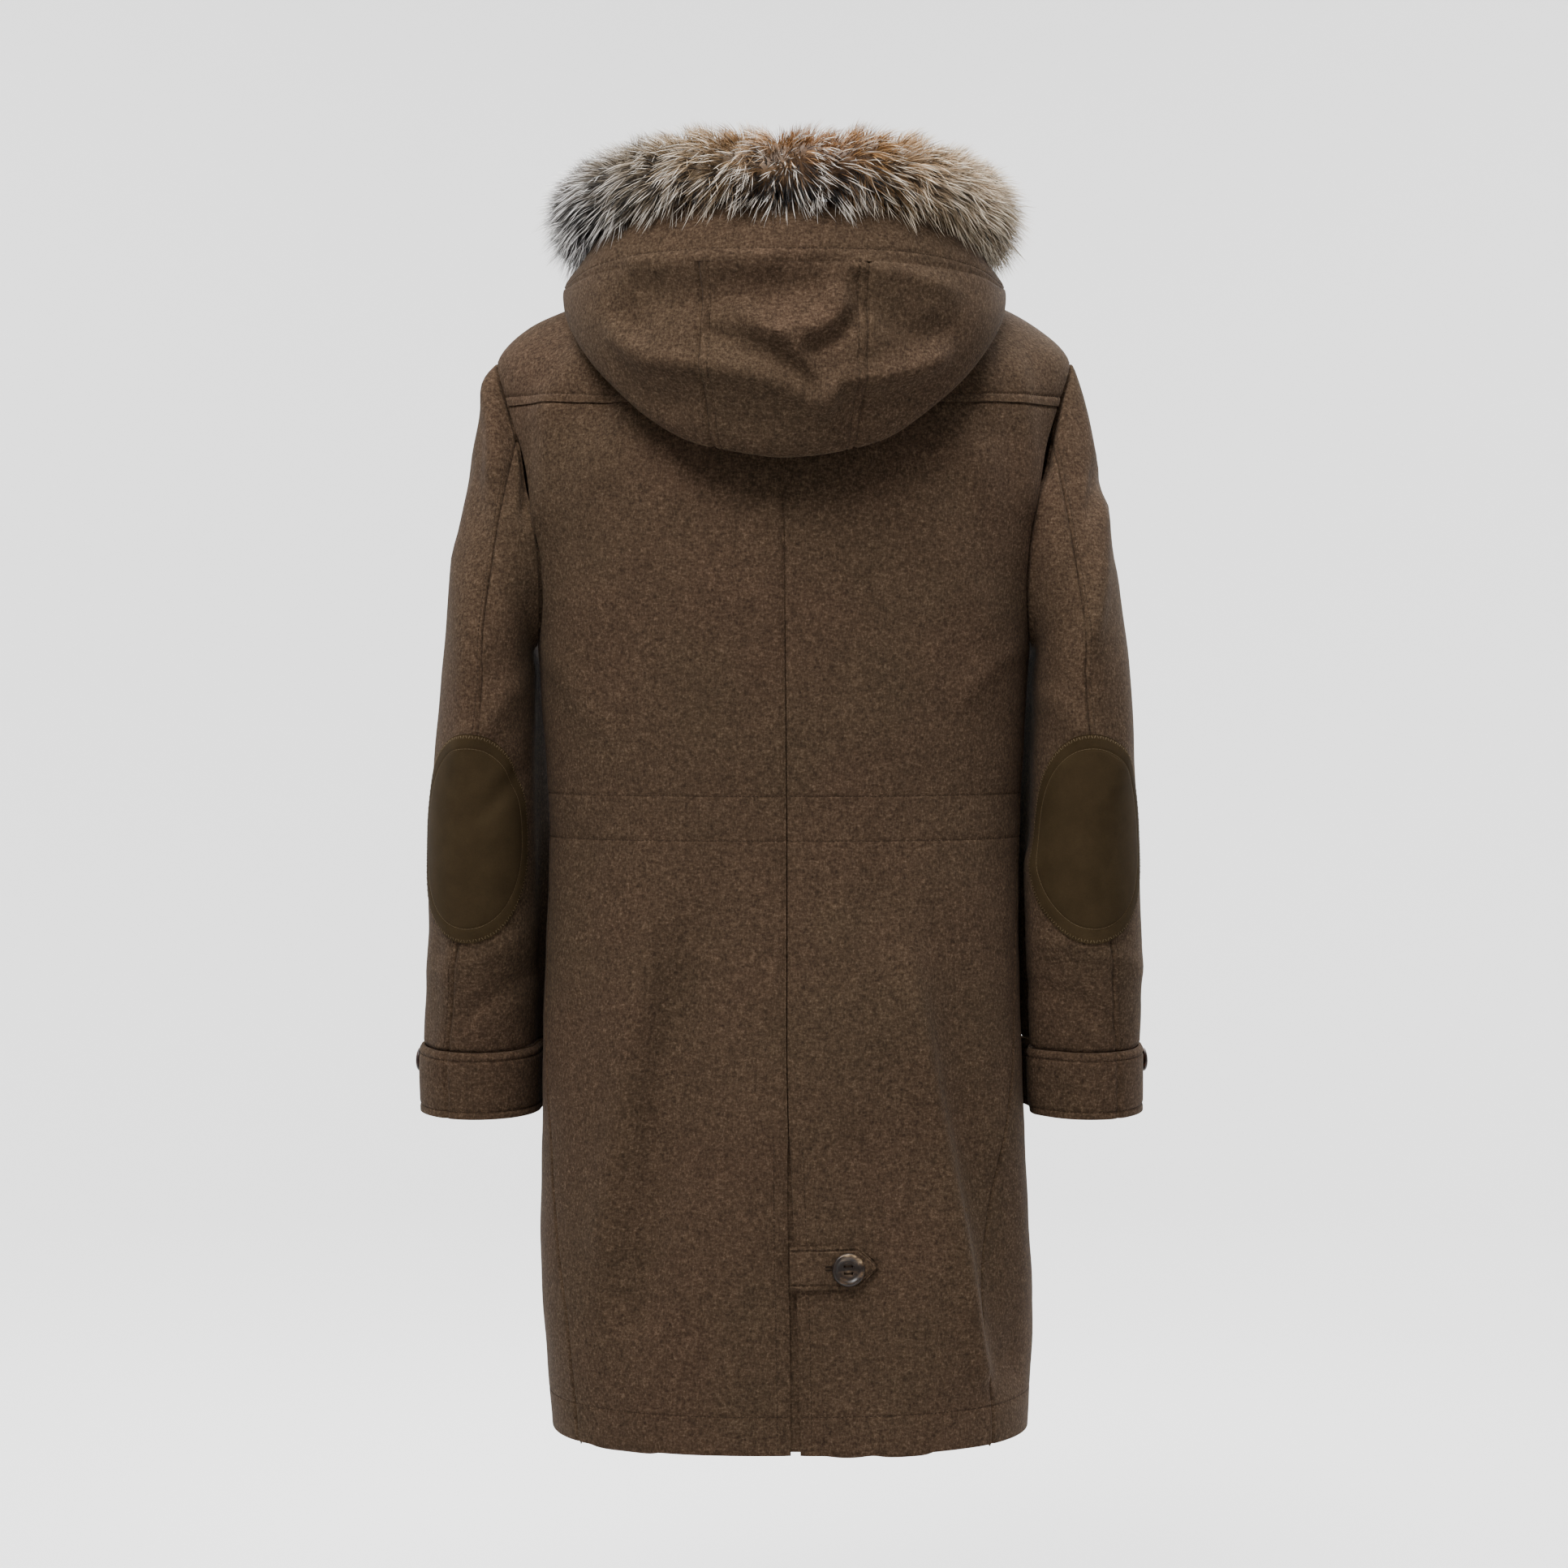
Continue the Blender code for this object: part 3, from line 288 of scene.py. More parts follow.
def armhole_run(share):
    return RUN["armpit"] + share * (RUN["tip"] - RUN["armpit"])


def armhole_swing(share):
    """How wide the armhole is there, as a share of its widest."""
    return np.sqrt(np.clip(4 * share * (1 - share), 0, 1))


def edge_angle(run, side, front):
    """Where a panel's outer edge runs: side seam, armhole, then shoulder seam."""
    below = read(SIDE_SEAM, "z", "left" if side > 0 else "right",
                 body_column("side_z", run))
    share = armhole_share(run)
    base = np.where(share > 0, SIDE_SEAM[-1].left * (1 - share), below)
    return base + armhole_swing(share) * (-ARMHOLE_FRONT if front else ARMHOLE_BACK)


YOKE_SHARE = (1 + cos(pi * YOKE_ROW / (ARM_COLUMNS // 2))) / 2
YOKE_RUN = armhole_run(YOKE_SHARE)


def back_point(across, run, side):
    """across is 0 at the centre-back seam and 1 at the panel's outer edge."""
    edge = edge_angle(run, side, front=False)
    point = body_point(90 + (edge - 90) * across, run, side)
    z = point[..., 2]
    low = np.clip((DRIFT_TOP - z) / (DRIFT_TOP - VENT_TOP), 0, 1)
    opening = np.clip((VENT_TOP - z) / (VENT_TOP - BODY[0].side_z), 0, 1) ** VENT_CURVE
    fade = (1 - across) ** 2
    point[..., 0] += fade * (CENTRE_SEAM_DRIFT * low + side * VENT_OPENING / 2 * opening)
    return point


def front_point(across, run, side):
    """across is 0 at the front's lapped edge and 1 at the panel's outer edge."""
    edge = edge_angle(run, side, front=True)
    reach = FRONT_LAP / body_column("half", run)
    lap = np.degrees(np.arcsin(reach ** (body_column("power", run) / 2)))
    start = -90 - side * lap
    return body_point(start + (edge - start) * across, run, side)


def place_at(x, z):
    """Angle and run of the body's point at x and z, below the armpit."""
    run = run_at_height(z)
    reach = np.abs(x - body_column("shift", run)) / body_column("half", run)
    share = np.clip(reach, 0, 1) ** (body_column("power", run) / 2)
    return np.degrees(np.arccos(share)), run


# ---- Sleeve surface -----------------------------------------------------------------
def armhole_point(turn, side):
    """A point of the armhole. turn is 0 at the tip, 0.5 at the armpit, 1 at the tip."""
    share = (1 + np.cos(2 * pi * turn)) / 2
    base = SIDE_SEAM[-1].left * (1 - share)
    wide = np.where(np.mod(turn, 1) < 0.5, ARMHOLE_BACK, -ARMHOLE_FRONT)
    return body_point(base + armhole_swing(share) * wide, armhole_run(share), side)


def sleeve_column(name, z):
    return read(SLEEVE[::-1], "z", name, z)


def sleeve_ring(turn, z, side, out=0.0):
    """A point of the sleeve below the biceps, out being how far it stands off."""
    outer = sleeve_column("outer_left" if side > 0 else "outer_right", z)
    inner = sleeve_column("inner", z)
    depth = sleeve_column("depth", z)
    around = 2 * pi * turn
    inward = np.clip(-np.cos(around), 0, 1) * np.clip(-np.sin(around), 0, 1) ** 2
    x = side * ((outer + inner) / 2 + ((outer - inner) / 2 + out) * np.cos(around)
                - sleeve_column("hug", z) * inward)
    lift = (depth + out) * np.sin(around)
    y = sleeve_column("y", z) + lift
    return np.stack([x, y, z - lift * sleeve_column("tilt", z)], axis=-1)


CAP_LEAD = ((0.76, 0.02), 0.42, (-0.46, -0.17))     # the way the sleeve leaves its armhole
CAP_EASE = 0.016            # how far the sleeve's head runs out before it drops
CAP_PULL = 0.36             # how far the curve's ends reach, as a share of its span
CAP_END = 1.0               # down is 0 at the armhole, 1 at the biceps, then 1 + metres


def sleeve_point(turn, down, side):
    """A point of the sleeve's outer face, from the armhole to the cuff seam."""
    start = armhole_point(turn, side)
    biceps = SLEEVE[0].z
    end = sleeve_ring(turn, np.full_like(turn, biceps), side)
    around = 2 * pi * turn
    (x, x_swing), y_swing, (z, z_swing) = CAP_LEAD
    lead = unit(np.stack([side * (x + x_swing * np.cos(around)), y_swing * np.sin(around),
                          z + z_swing * np.cos(around)], axis=-1))
    start = start + lead * SEAM_GAP
    reach = np.linalg.norm(end - start, axis=-1, keepdims=True)
    below = sleeve_ring(turn, np.full_like(turn, biceps - 0.01), side)
    trail = unit(below - end)
    s = np.clip(down, 0, CAP_END)[..., None]
    first = start + lead * np.minimum(reach * CAP_PULL, CAP_EASE)
    second = end - trail * reach * CAP_PULL
    cap = (start * (1 - s) ** 3 + 3 * first * s * (1 - s) ** 2
           + 3 * second * s * s * (1 - s) + end * s ** 3)
    lower = sleeve_ring(turn, biceps - np.maximum(down - CAP_END, 0), side)
    return np.where((down <= CAP_END)[..., None], cap, lower)


def sleeve_turn(across, down, upper):
    """Where a sleeve piece's column lies round the sleeve: the seams sweep down it."""
    z = SLEEVE[0].z - np.maximum(down - CAP_END, 0)
    cap = np.clip(down, 0, CAP_END)
    back, front = (
        start / ARM_COLUMNS + (read(SLEEVE_SEAMS[::-1], "z", name, z) - start / ARM_COLUMNS)
        * cap for name, start in (("back", BACK_SLEEVE_SEAM), ("front", FRONT_SLEEVE_SEAM)))
    if upper:
        return front - 1 + (back - front + 1) * across
    return back + (front - back) * across


# ---- Hood surface -------------------------------------------------------------------
HOOD_STEPS = (0.0, 0.10, 0.30, 0.52, 0.72, 0.88, 1.0)
HOOD_NAMES = ("stand", "in", "low", "out", "rim", "edge")


def neck_point(angle):
    """The hood's start on the neckline: degrees from centre back, + to the left."""
    side = np.where(angle < 0, -1.0, 1.0)
    point = body_point(90 - np.abs(angle), np.full_like(angle, RUNS[-1]), side)
    point[..., 2] += NECK_GAP
    return point


def hood_point(angle, share):
    """A point of the hood's outer face: share runs from the neckline to the edge."""
    size = np.clip(np.hypot(angle, HOOD_BLUNT), 0, HOOD_END)
    across = np.sin(np.radians(angle))
    back = np.cos(np.radians(angle))
    knots = [neck_point(angle)]
    for name in HOOD_NAMES:
        r = read(HOOD, "angle", name + "_r", size)
        z = read(HOOD, "angle", name + "_z", size)
        knots.append(np.stack([r * across, r * back, z], axis=-1))
    return along_knots(knots, share)


def along_knots(knots, share):
    """A smooth path through points, with HOOD_STEPS as their places along it."""
    steps = np.asarray(HOOD_STEPS)
    stack = np.stack(knots)
    slopes = np.gradient(stack, steps, axis=0)
    i = np.clip(np.searchsorted(steps, share, side="right") - 1, 0, len(steps) - 2)
    width = (steps[i + 1] - steps[i])[..., None]
    s = ((share - steps[i])[..., None]) / width

    def pick(values, index):
        return np.take_along_axis(values, index[None, ..., None], axis=0)[0]

    rise = s * s * (3 - 2 * s)
    lead = s * (1 - s) ** 2 * width * pick(slopes, i)
    trail = s * s * (s - 1) * width * pick(slopes, i + 1)
    return pick(stack, i) * (1 - rise) + pick(stack, i + 1) * rise + lead + trail


# ---- Folds and creases of the cloth ---------------------------------------------------
# Each is a soft stroke between two places: half width, and height off the cloth (troughs
# below zero), in metres, seen from behind (x, z) or from the front.
Ridge = namedtuple("Ridge", "width height line")
BACK_FOLDS_LOW = (          # the long ones below the waist, through several places (x, z)
    Ridge(0.010, 0.0090, ((-0.100, -0.545), (-0.108, -0.600), (-0.132, -0.717),
                          (-0.150, -0.810), (-0.166, -0.905))),
    Ridge(0.025, -0.0170, ((-0.126, -0.510), (-0.136, -0.600), (-0.158, -0.720),
                           (-0.176, -0.810), (-0.190, -0.900))),
    Ridge(0.021, -0.0090, ((0.062, -0.480), (0.093, -0.635), (0.120, -0.850))),
    Ridge(0.015, 0.0050, ((0.098, -0.490), (0.122, -0.640), (0.148, -0.800))),
)
BACK_DEPTH = 1.7            # the creases of the back and the sleeves, times their height
SLEEVE_DEPTH = 1.5
SLEEVE_FRONT_DEPTH = 0.8
BACK_CREASES = (
    Fold(-0.075, -0.520, -0.100, -0.800, 0.018, -0.0018),
    Fold(-0.040, -0.480, -0.046, -0.700, 0.016, 0.0012),
    Fold(0.030, -0.700, 0.040, -0.930, 0.014, 0.0014),
    Fold(0.160, -0.480, 0.172, -0.640, 0.012, -0.0016),
    Fold(0.150, -0.380, 0.185, -0.330, 0.010, 0.0014),
    Fold(-0.150, -0.350, -0.185, -0.320, 0.010, 0.0014),
    Fold(0.100, -0.180, 0.160, -0.300, 0.020, 0.0014),
    Fold(-0.110, -0.190, -0.165, -0.300, 0.020, 0.0016),
    Fold(0.193, -0.120, 0.200, -0.205, 0.012, 0.0030),
    Fold(-0.194, -0.095, -0.200, -0.190, 0.012, 0.0030),
    Fold(0.150, -0.040, 0.190, -0.110, 0.014, 0.0022),
    Fold(0.130, -0.060, 0.150, -0.120, 0.010, -0.0022),
    Fold(-0.145, -0.050, -0.175, -0.115, 0.014, 0.0020),
)
FRONT_CREASES = (
    Fold(0.070, -0.180, 0.120, -0.320, 0.020, 0.0025),
    Fold(-0.060, -0.190, -0.125, -0.330, 0.020, 0.0025),
    Fold(0.120, -0.270, 0.175, -0.330, 0.012, -0.0025),
    Fold(-0.115, -0.260, -0.175, -0.325, 0.012, -0.0025),
    Fold(0.040, -0.480, 0.060, -0.900, 0.018, 0.0020),
    Fold(-0.060, -0.500, -0.045, -0.900, 0.020, -0.0022),
    Fold(0.150, -0.450, 0.180, -0.560, 0.012, -0.0020),
    Fold(-0.150, -0.440, -0.175, -0.560, 0.014, 0.0020),
    Fold(0.085, -0.780, 0.110, -0.950, 0.014, -0.0024),
    Fold(-0.135, -0.770, -0.155, -0.950, 0.014, 0.0026),
)
SLEEVE_CREASES = (          # seen from behind; in front the same ones, turned inside out
    Fold(0.250, -0.085, 0.240, -0.165, 0.008, 0.0050),
    Fold(0.2180, -0.120, 0.2130, -0.200, 0.006, -0.0080),
    Fold(-0.2240, -0.085, -0.2160, -0.165, 0.007, -0.0085),
    Fold(-0.2095, -0.500, -0.2075, -0.690, 0.012, 0.0050),
    Fold(0.232, -0.100, 0.226, -0.190, 0.007, -0.0040),
    Fold(0.262, -0.170, 0.236, -0.330, 0.011, -0.0024),
    Fold(0.275, -0.240, 0.262, -0.400, 0.012, 0.0022),
    Fold(0.225, -0.350, 0.262, -0.395, 0.009, 0.0020),
    Fold(0.222, -0.420, 0.250, -0.450, 0.008, -0.0018),
    Fold(0.230, -0.560, 0.285, -0.585, 0.010, 0.0020),
    Fold(0.220, -0.590, 0.262, -0.618, 0.009, -0.0022),
    Fold(0.292, -0.560, 0.300, -0.640, 0.010, -0.0020),
    Fold(-0.262, -0.172, -0.258, -0.196, 0.007, -0.0040),
    Fold(-0.264, -0.196, -0.255, -0.300, 0.008, 0.0034),
    Fold(-0.238, -0.170, -0.236, -0.300, 0.010, -0.0026),
    Fold(-0.284, -0.260, -0.276, -0.420, 0.011, 0.0020),
    Fold(-0.226, -0.360, -0.258, -0.400, 0.010, 0.0018),
    Fold(-0.232, -0.560, -0.290, -0.580, 0.010, 0.0022),
    Fold(-0.222, -0.600, -0.268, -0.622, 0.009, -0.0022),
)
HOOD_FOLDS = (              # each runs through its places (x, z), seen from behind
    Ridge(0.0100, 0.0078, ((0.150, -0.060), (0.135, -0.066), (0.108, -0.084),
                           (0.078, -0.090), (0.047, -0.094), (0.018, -0.101),
                           (-0.0075, -0.110), (-0.032, -0.123))),
    Ridge(0.0090, 0.0070, ((-0.036, -0.114), (-0.043, -0.103), (-0.068, -0.102),
                           (-0.0985, -0.0957), (-0.126, -0.0837))),
    Ridge(0.0075, 0.0052, ((0.032, -0.050), (0.023, -0.060), (0.0047, -0.0660),
                           (-0.0165, -0.0655), (-0.035, -0.0594), (-0.0465, -0.0473),
                           (-0.0408, -0.0382))),
    Ridge(0.0056, 0.0052, ((0.0047, -0.0660), (-0.0085, -0.0790), (-0.0215, -0.0960),
                           (-0.036, -0.113))),
    Ridge(0.0080, -0.0054, ((0.060, -0.066), (0.030, -0.0745), (0.006, -0.0860),
                            (-0.011, -0.0960), (-0.024, -0.108))),
    Ridge(0.0085, -0.0048, ((-0.0230, -0.0790), (-0.036, -0.0730), (-0.050, -0.0640),
                            (-0.060, -0.0440), (-0.058, -0.0250))),
    Ridge(0.0175, -0.0088, ((0.110, -0.036), (0.075, -0.040), (0.038, -0.038),
                            (-0.0226, -0.031))),
    Ridge(0.0100, -0.0060, ((0.152, -0.018), (0.143, -0.040), (0.118, -0.062))),
    Ridge(0.0110, -0.0046, ((0.150, -0.084), (0.125, -0.108), (0.095, -0.122))),
    Ridge(0.0120, -0.0042, ((-0.075, -0.046), (-0.105, -0.066), (-0.135, -0.060))),
    Ridge(0.0080, 0.0040, ((0.120, -0.010), (0.060, -0.009), (0.010, -0.010))),
    Ridge(0.0080, 0.0036, ((-0.060, -0.014), (-0.100, -0.020), (-0.140, -0.030))),
    Ridge(0.0120, -0.0028, ((0.080, -0.118), (0.020, -0.138))),
    Ridge(0.0120, -0.0028, ((-0.050, -0.132), (-0.100, -0.116))),
)


def ridges(table, u, v, ease=0.0):
    """Height of soft strokes along lines of several places. Each grows to its full height
    over the first ease of its length."""
    lift = np.zeros_like(u)
    for fold in table:
        nearest = np.full_like(u, 1.0)
        place = np.zeros_like(u)
        count = len(fold.line) - 1
        for i, ((u0, v0), (u1, v1)) in enumerate(zip(fold.line, fold.line[1:])):
            length = np.hypot(u1 - u0, v1 - v0)
            s = ((u - u0) * (u1 - u0) + (v - v0) * (v1 - v0)) / length
            s = np.clip(s, 0, length)
            away = np.hypot(u - u0 - s * (u1 - u0) / length,
                            v - v0 - s * (v1 - v0) / length)
            place = np.where(away < nearest, (i + s / length) / count, place)
            nearest = np.minimum(nearest, away)
        grown = np.clip(place / ease, 0, 1) if ease else 1.0
        lift += fold.height * grown * np.exp(-(nearest / fold.width) ** 2)
    return lift


def strokes(table, u, v):
    """Height of soft strokes at u, v, fading out beyond both ends."""
    lift = np.zeros_like(u)
    for fold in table:
        along_u = fold.x1 - fold.x0
        along_v = fold.z1 - fold.z0
        length = np.hypot(along_u, along_v)
        s = ((u - fold.x0) * along_u + (v - fold.z0) * along_v) / length
        across = ((u - fold.x0) * along_v - (v - fold.z0) * along_u) / length
        past = np.maximum(np.maximum(-s, s - length), 0)
        bend = across - STROKE_BEND * length * (s / length) * (1 - s / length)
        lift += fold.height * np.exp(-(bend / fold.width) ** 2
                                     - (past / (fold.width * STROKE_FADE)) ** 2)
    return lift


GROWTH = 0.45               # of a long back fold's length, over which it rises
STROKE_BEND = 0.12          # how far a stroke bows, as a share of its length
STROKE_FADE = 1.6           # how far it runs on past its ends, in half widths
BACK_FACES = (0.015, 0.05)  # y where the long folds begin, and the way to their full height
HOOD_OUTSIDE = (0.135, 0.02)
WAVY_BODY = 0.0010
WAVY_LIMB = 0.0007          # sleeves and hood


def unevenness(point, height):
    """The slow waviness of cloth that hangs, different at every place."""
    x, y, z = point[..., 0], point[..., 1], point[..., 2]
    wide = np.sin(37 * x + 9 * z + 1.3) * np.sin(19 * z - 13 * x + 11 * y + 0.4)
    fine = np.sin(71 * z + 43 * x + 29 * y + 2.0) * np.sin(83 * x - 31 * z + 0.7)
    return height * (wide + 0.45 * fine)


def body_relief(point):
    x, z = point[..., 0], point[..., 2]
    behind = np.clip((point[..., 1] - BACK_FACES[0]) / BACK_FACES[1], 0, 1)
    back = (BACK_DEPTH * strokes(BACK_CREASES, x, z)
            + behind * ridges(BACK_FOLDS_LOW, x, z, GROWTH))
    front = strokes(FRONT_CREASES, x, z)
    share = np.clip(point[..., 1] / 0.05 + 0.5, 0, 1)
    return back * share + front * (1 - share) + unevenness(point, WAVY_BODY)


def sleeve_relief(point):
    x, z = point[..., 0], point[..., 2]
    share = np.clip(point[..., 1] / 0.03 + 0.5, 0, 1)
    back = SLEEVE_DEPTH * strokes(SLEEVE_CREASES, x, z)
    front = SLEEVE_FRONT_DEPTH * strokes(SLEEVE_CREASES, x, z * 0.93 - 0.02)
    return back * share - front * (1 - share) + unevenness(point, WAVY_LIMB)


def hood_relief(point):
    x, z = point[..., 0], point[..., 2]
    outside = np.clip((point[..., 1] - HOOD_OUTSIDE[0]) / HOOD_OUTSIDE[1], 0, 1)
    return outside * ridges(HOOD_FOLDS, x, z) + unevenness(point, WAVY_LIMB)


# ---- Shells ---------------------------------------------------------------------------
Line = namedtuple("Line", "axis at width depth")        # a seam or row of stitches
SEAM_DEPTH = 0.0018
SEAM_WIDTH = 0.0020
STITCH_DEPTH = 0.0009
STITCH_WIDTH = 0.0012
ROW_DEPTH = 0.0005          # of the rows round the waist and the hem
RIM_ANGLE = radians(60)     # a rim sharper than this isn't smoothed into the face


def grid(across, along):
    return np.meshgrid(np.asarray(across, float), np.asarray(along, float))


def outward(surface, a, b, facing):
    """Unit normals of a surface, turned to the side that facing gives."""
    da = surface(a + EPS, b) - surface(a - EPS, b)
    db = surface(a, b + EPS) - surface(a, b - EPS)
    normal = np.cross(da, db)
    normal /= np.maximum(np.linalg.norm(normal, axis=-1, keepdims=True), 1e-12)
    return normal * facing


def steps(count, first=0.0, last=1.0):
    return [first + (last - first) * i / count for i in range(count + 1)]


def sampled(first, last, count, lines, axis):
    """Grid places between two ends, with more of them beside each line."""
    places = list(steps(count, first, last))
    low, high = min(first, last), max(first, last)
    for line in lines:
        if line.axis == axis:
            near = [line.at + line.width * k for k in (-2, -1.1, -0.5, 0, 0.5, 1.1, 2)]
            places = [p for p in places if abs(p - line.at) > line.width * 2.4
                      or p in (first, last)]
            places += [p for p in near if low <= p <= high]
    kept = []
    for place in sorted(places):
        if not kept or place - kept[-1] > (high - low) * 2e-4:
            kept.append(place)
    return kept


def line_depth(a, b, lines):
    """How deep the seams and stitch rows draw the cloth in."""
    depth = np.zeros_like(a)
    for line in lines:
        place = a if line.axis == "a" else b
        depth += line.depth * np.exp(-((place - line.at) / line.width) ** 2)
    return depth


def finished(surface, facing, relief, lines):
    """The outer face of a piece, with its folds and seams."""
    def face(a, b):
        base = surface(a, b)
        height = relief(base) - line_depth(a, b, lines)
        return base + outward(surface, a, b, facing) * height[..., None]
    return face


def placed(name, data):
    thing = bpy.data.objects.new(name, data)
    bpy.context.scene.collection.objects.link(thing)
    return thing


def mesh_piece(name, points, faces, look):
    mesh = bpy.data.meshes.new(name)
    mesh.from_pydata(points, [], faces)
    mesh.validate()
    mesh.shade_smooth()
    mesh.materials.append(look)
    piece = placed(name, mesh)
    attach(piece, "root")
    return piece


def grid_faces(rows, columns, ring):
    r, c = np.meshgrid(np.arange(rows - 1), np.arange(columns if ring else columns - 1),
                       indexing="ij")
    d = (c + 1) % columns
    corners = [r * columns + c, r * columns + d, (r + 1) * columns + d,
               (r + 1) * columns + c]
    return np.stack(corners, axis=-1).reshape(-1, 4)


def shell(name, face, across, along, facing, look, ring=False, thick=CLOTH):
    """A thin closed shell under a face, with square edges."""
    a, b = grid(across, along)
    top = face(a, b)
    normal = outward(face, a, b, facing)
    rows, columns = a.shape
    under = top - normal * thick
    count = rows * columns
    points = np.concatenate([top.reshape(-1, 3), under.reshape(-1, 3)])
    skin = grid_faces(rows, columns, ring)
    faces = [skin, skin[:, ::-1] + count]
    c = np.arange(columns if ring else columns - 1)
    d = (c + 1) % columns
    for row, flip in ((0, False), (rows - 1, True)):
        side = np.stack([row * columns + c, row * columns + c + count,
                         row * columns + d + count, row * columns + d], axis=-1)
        faces.append(side[:, ::-1] if flip else side)
    if not ring:
        r = np.arange(rows - 1)
        for column_at, flip in ((0, True), (columns - 1, False)):
            at = r * columns + column_at
            side = np.stack([at, at + count, at + columns + count, at + columns], axis=-1)
            faces.append(side[:, ::-1] if flip else side)
    faces = np.concatenate(faces)
    if facing_out(top, normal):
        faces = faces[:, ::-1]
    piece = mesh_piece(name, points.tolist(), faces.tolist(), look)
    piece.data.set_sharp_from_angle(angle=RIM_ANGLE)
    return piece


def facing_out(top, normal):
    """Whether the grid's own turning sense is against the outward normals."""
    da = top[:-1, 1:] - top[:-1, :-1]
    db = top[1:, :-1] - top[:-1, :-1]
    return float(np.sum(np.cross(da, db) * normal[:-1, :-1])) < 0


# ---- Materials ------------------------------------------------------------------------
class Look:
    """A material being put together, from textures placed in metres on the object."""

    def __init__(self, name):
        self.material = bpy.data.materials.new(name)
        self.material.use_nodes = True
        self.nodes = self.material.node_tree.nodes
        self.links = self.material.node_tree.links
        self.shader = self.nodes["Principled BSDF"]

    def fill(self, node, values):
        """Set each named socket, or link it where the value is another node's output."""
        for name, value in values.items():
            if hasattr(value, "is_linked"):
                self.links.new(value, node.inputs[name])
            else:
                node.inputs[name].default_value = value

    def surface(self, values):
        self.fill(self.shader, values)

    def place(self):
        return self.nodes.new("ShaderNodeTexCoord").outputs["Object"]

    def noise(self, vector, scale, detail=2.0, rough=0.5, stretch=None, turn=(0, 0, 0)):
        """A noise texture, stretched into fibres where asked."""
        if stretch:
            mapping = self.nodes.new("ShaderNodeMapping")
            self.fill(mapping, {"Scale": stretch, "Rotation": turn, "Vector": vector})
            vector = mapping.outputs["Vector"]
        texture = self.nodes.new("ShaderNodeTexNoise")
        self.fill(texture, {"Scale": scale, "Detail": detail, "Roughness": rough,
                            "Vector": vector})
        return texture.outputs["Fac"]

    def ramp(self, value, *stops):
        """Colours along a value; a stop's colour may be one grey level."""
        made = self.nodes.new("ShaderNodeValToRGB")
        elements = made.color_ramp.elements
        while len(elements) < len(stops):
            elements.new(0.5)
        for element, (place, colour) in zip(elements, stops):
            element.position = place
            element.color = (*((colour,) * 3 if isinstance(colour, float) else colour), 1)
        self.fill(made, {"Fac": value})
        return made.outputs["Color"]

    def mix(self, factor, first, second, blend="MIX"):
        made = self.nodes.new("ShaderNodeMix")
        made.data_type = "RGBA"
        made.blend_type = blend
        self.fill(made, {"Factor": factor, "A": first, "B": second})
        return made.outputs["Result"]

    def times(self, first, second):
        return self.mix(1.0, first, second, "MULTIPLY")

    def bump(self, height, strength, distance, under=None):
        made = self.nodes.new("ShaderNodeBump")
        self.fill(made, {"Strength": strength, "Distance": distance, "Height": height})
        if under:
            self.fill(made, {"Normal": under})
        return made.outputs["Normal"]


WOOL_COLOUR = (0.0400, 0.0242, 0.0142)
WOOL_DARK = 0.44            # the darkest fibres, as a share of the colour
WOOL_PALE = (2.6, 2.8, 3.0)


def wool_material():
    """Brushed melange coating: dark base, pale tan flecks a millimetre long, soft nap."""
    look = Look("melange_wool")
    place = look.place()
    fibres = look.noise(place, 640, 4, 0.68, (1.0, 1.0, 0.50), (0, 0.3, 0))
    crossed = look.noise(place, 520, 4, 0.66, (0.5, 0.8, 1.0), (0, 0.5, 0.2))
    mottle = look.noise(place, 170, 4, 0.6)
    cloudy = look.noise(place, 9, 2, 0.5)
    dark = [c * WOOL_DARK for c in WOOL_COLOUR]
    pale = [c * k for c, k in zip(WOOL_COLOUR, WOOL_PALE)]
    first = look.ramp(fibres, (0.34, dark), (0.51, WOOL_COLOUR), (0.68, pale))
    second = look.ramp(crossed, (0.36, dark), (0.52, WOOL_COLOUR), (0.70, pale))
    colour = look.mix(0.5, first, second)
    colour = look.times(colour, look.ramp(mottle, (0.32, 0.82), (0.68, 1.18)))
    olive = look.ramp(cloudy, (0.35, (0.97, 1.0, 0.97)), (0.65, (1.02, 1.0, 1.0)))
    nap = look.noise(place, 1500, 2, 0.6)
    felt = look.bump(fibres, 0.5, 0.0006)
    look.surface({"Base Color": look.times(colour, olive),
                  "Normal": look.bump(nap, 0.25, 0.0003, felt), "Roughness": 0.95,
                  "Specular IOR Level": 0.10, "Sheen Weight": 0.02,
                  "Sheen Roughness": 0.55, "Sheen Tint": (0.50, 0.38, 0.28, 1)})
    return look.material


def suede_material():
    look = Look("elbow_suede")
    place = look.place()
    nap = look.noise(place, 900, 3, 0.6)
    worn = look.noise(place, 45, 3, 0.55)
    colour = look.ramp(worn, (0.30, (0.0235, 0.0150, 0.0062)),
                       (0.70, (0.0300, 0.0195, 0.0085)))
    grain = look.ramp(nap, (0.30, 0.86), (0.70, 1.12))
    look.surface({"Base Color": look.times(colour, grain),
                  "Normal": look.bump(nap, 0.30, 0.0002), "Roughness": 0.90,
                  "Specular IOR Level": 0.08})
    return look.material


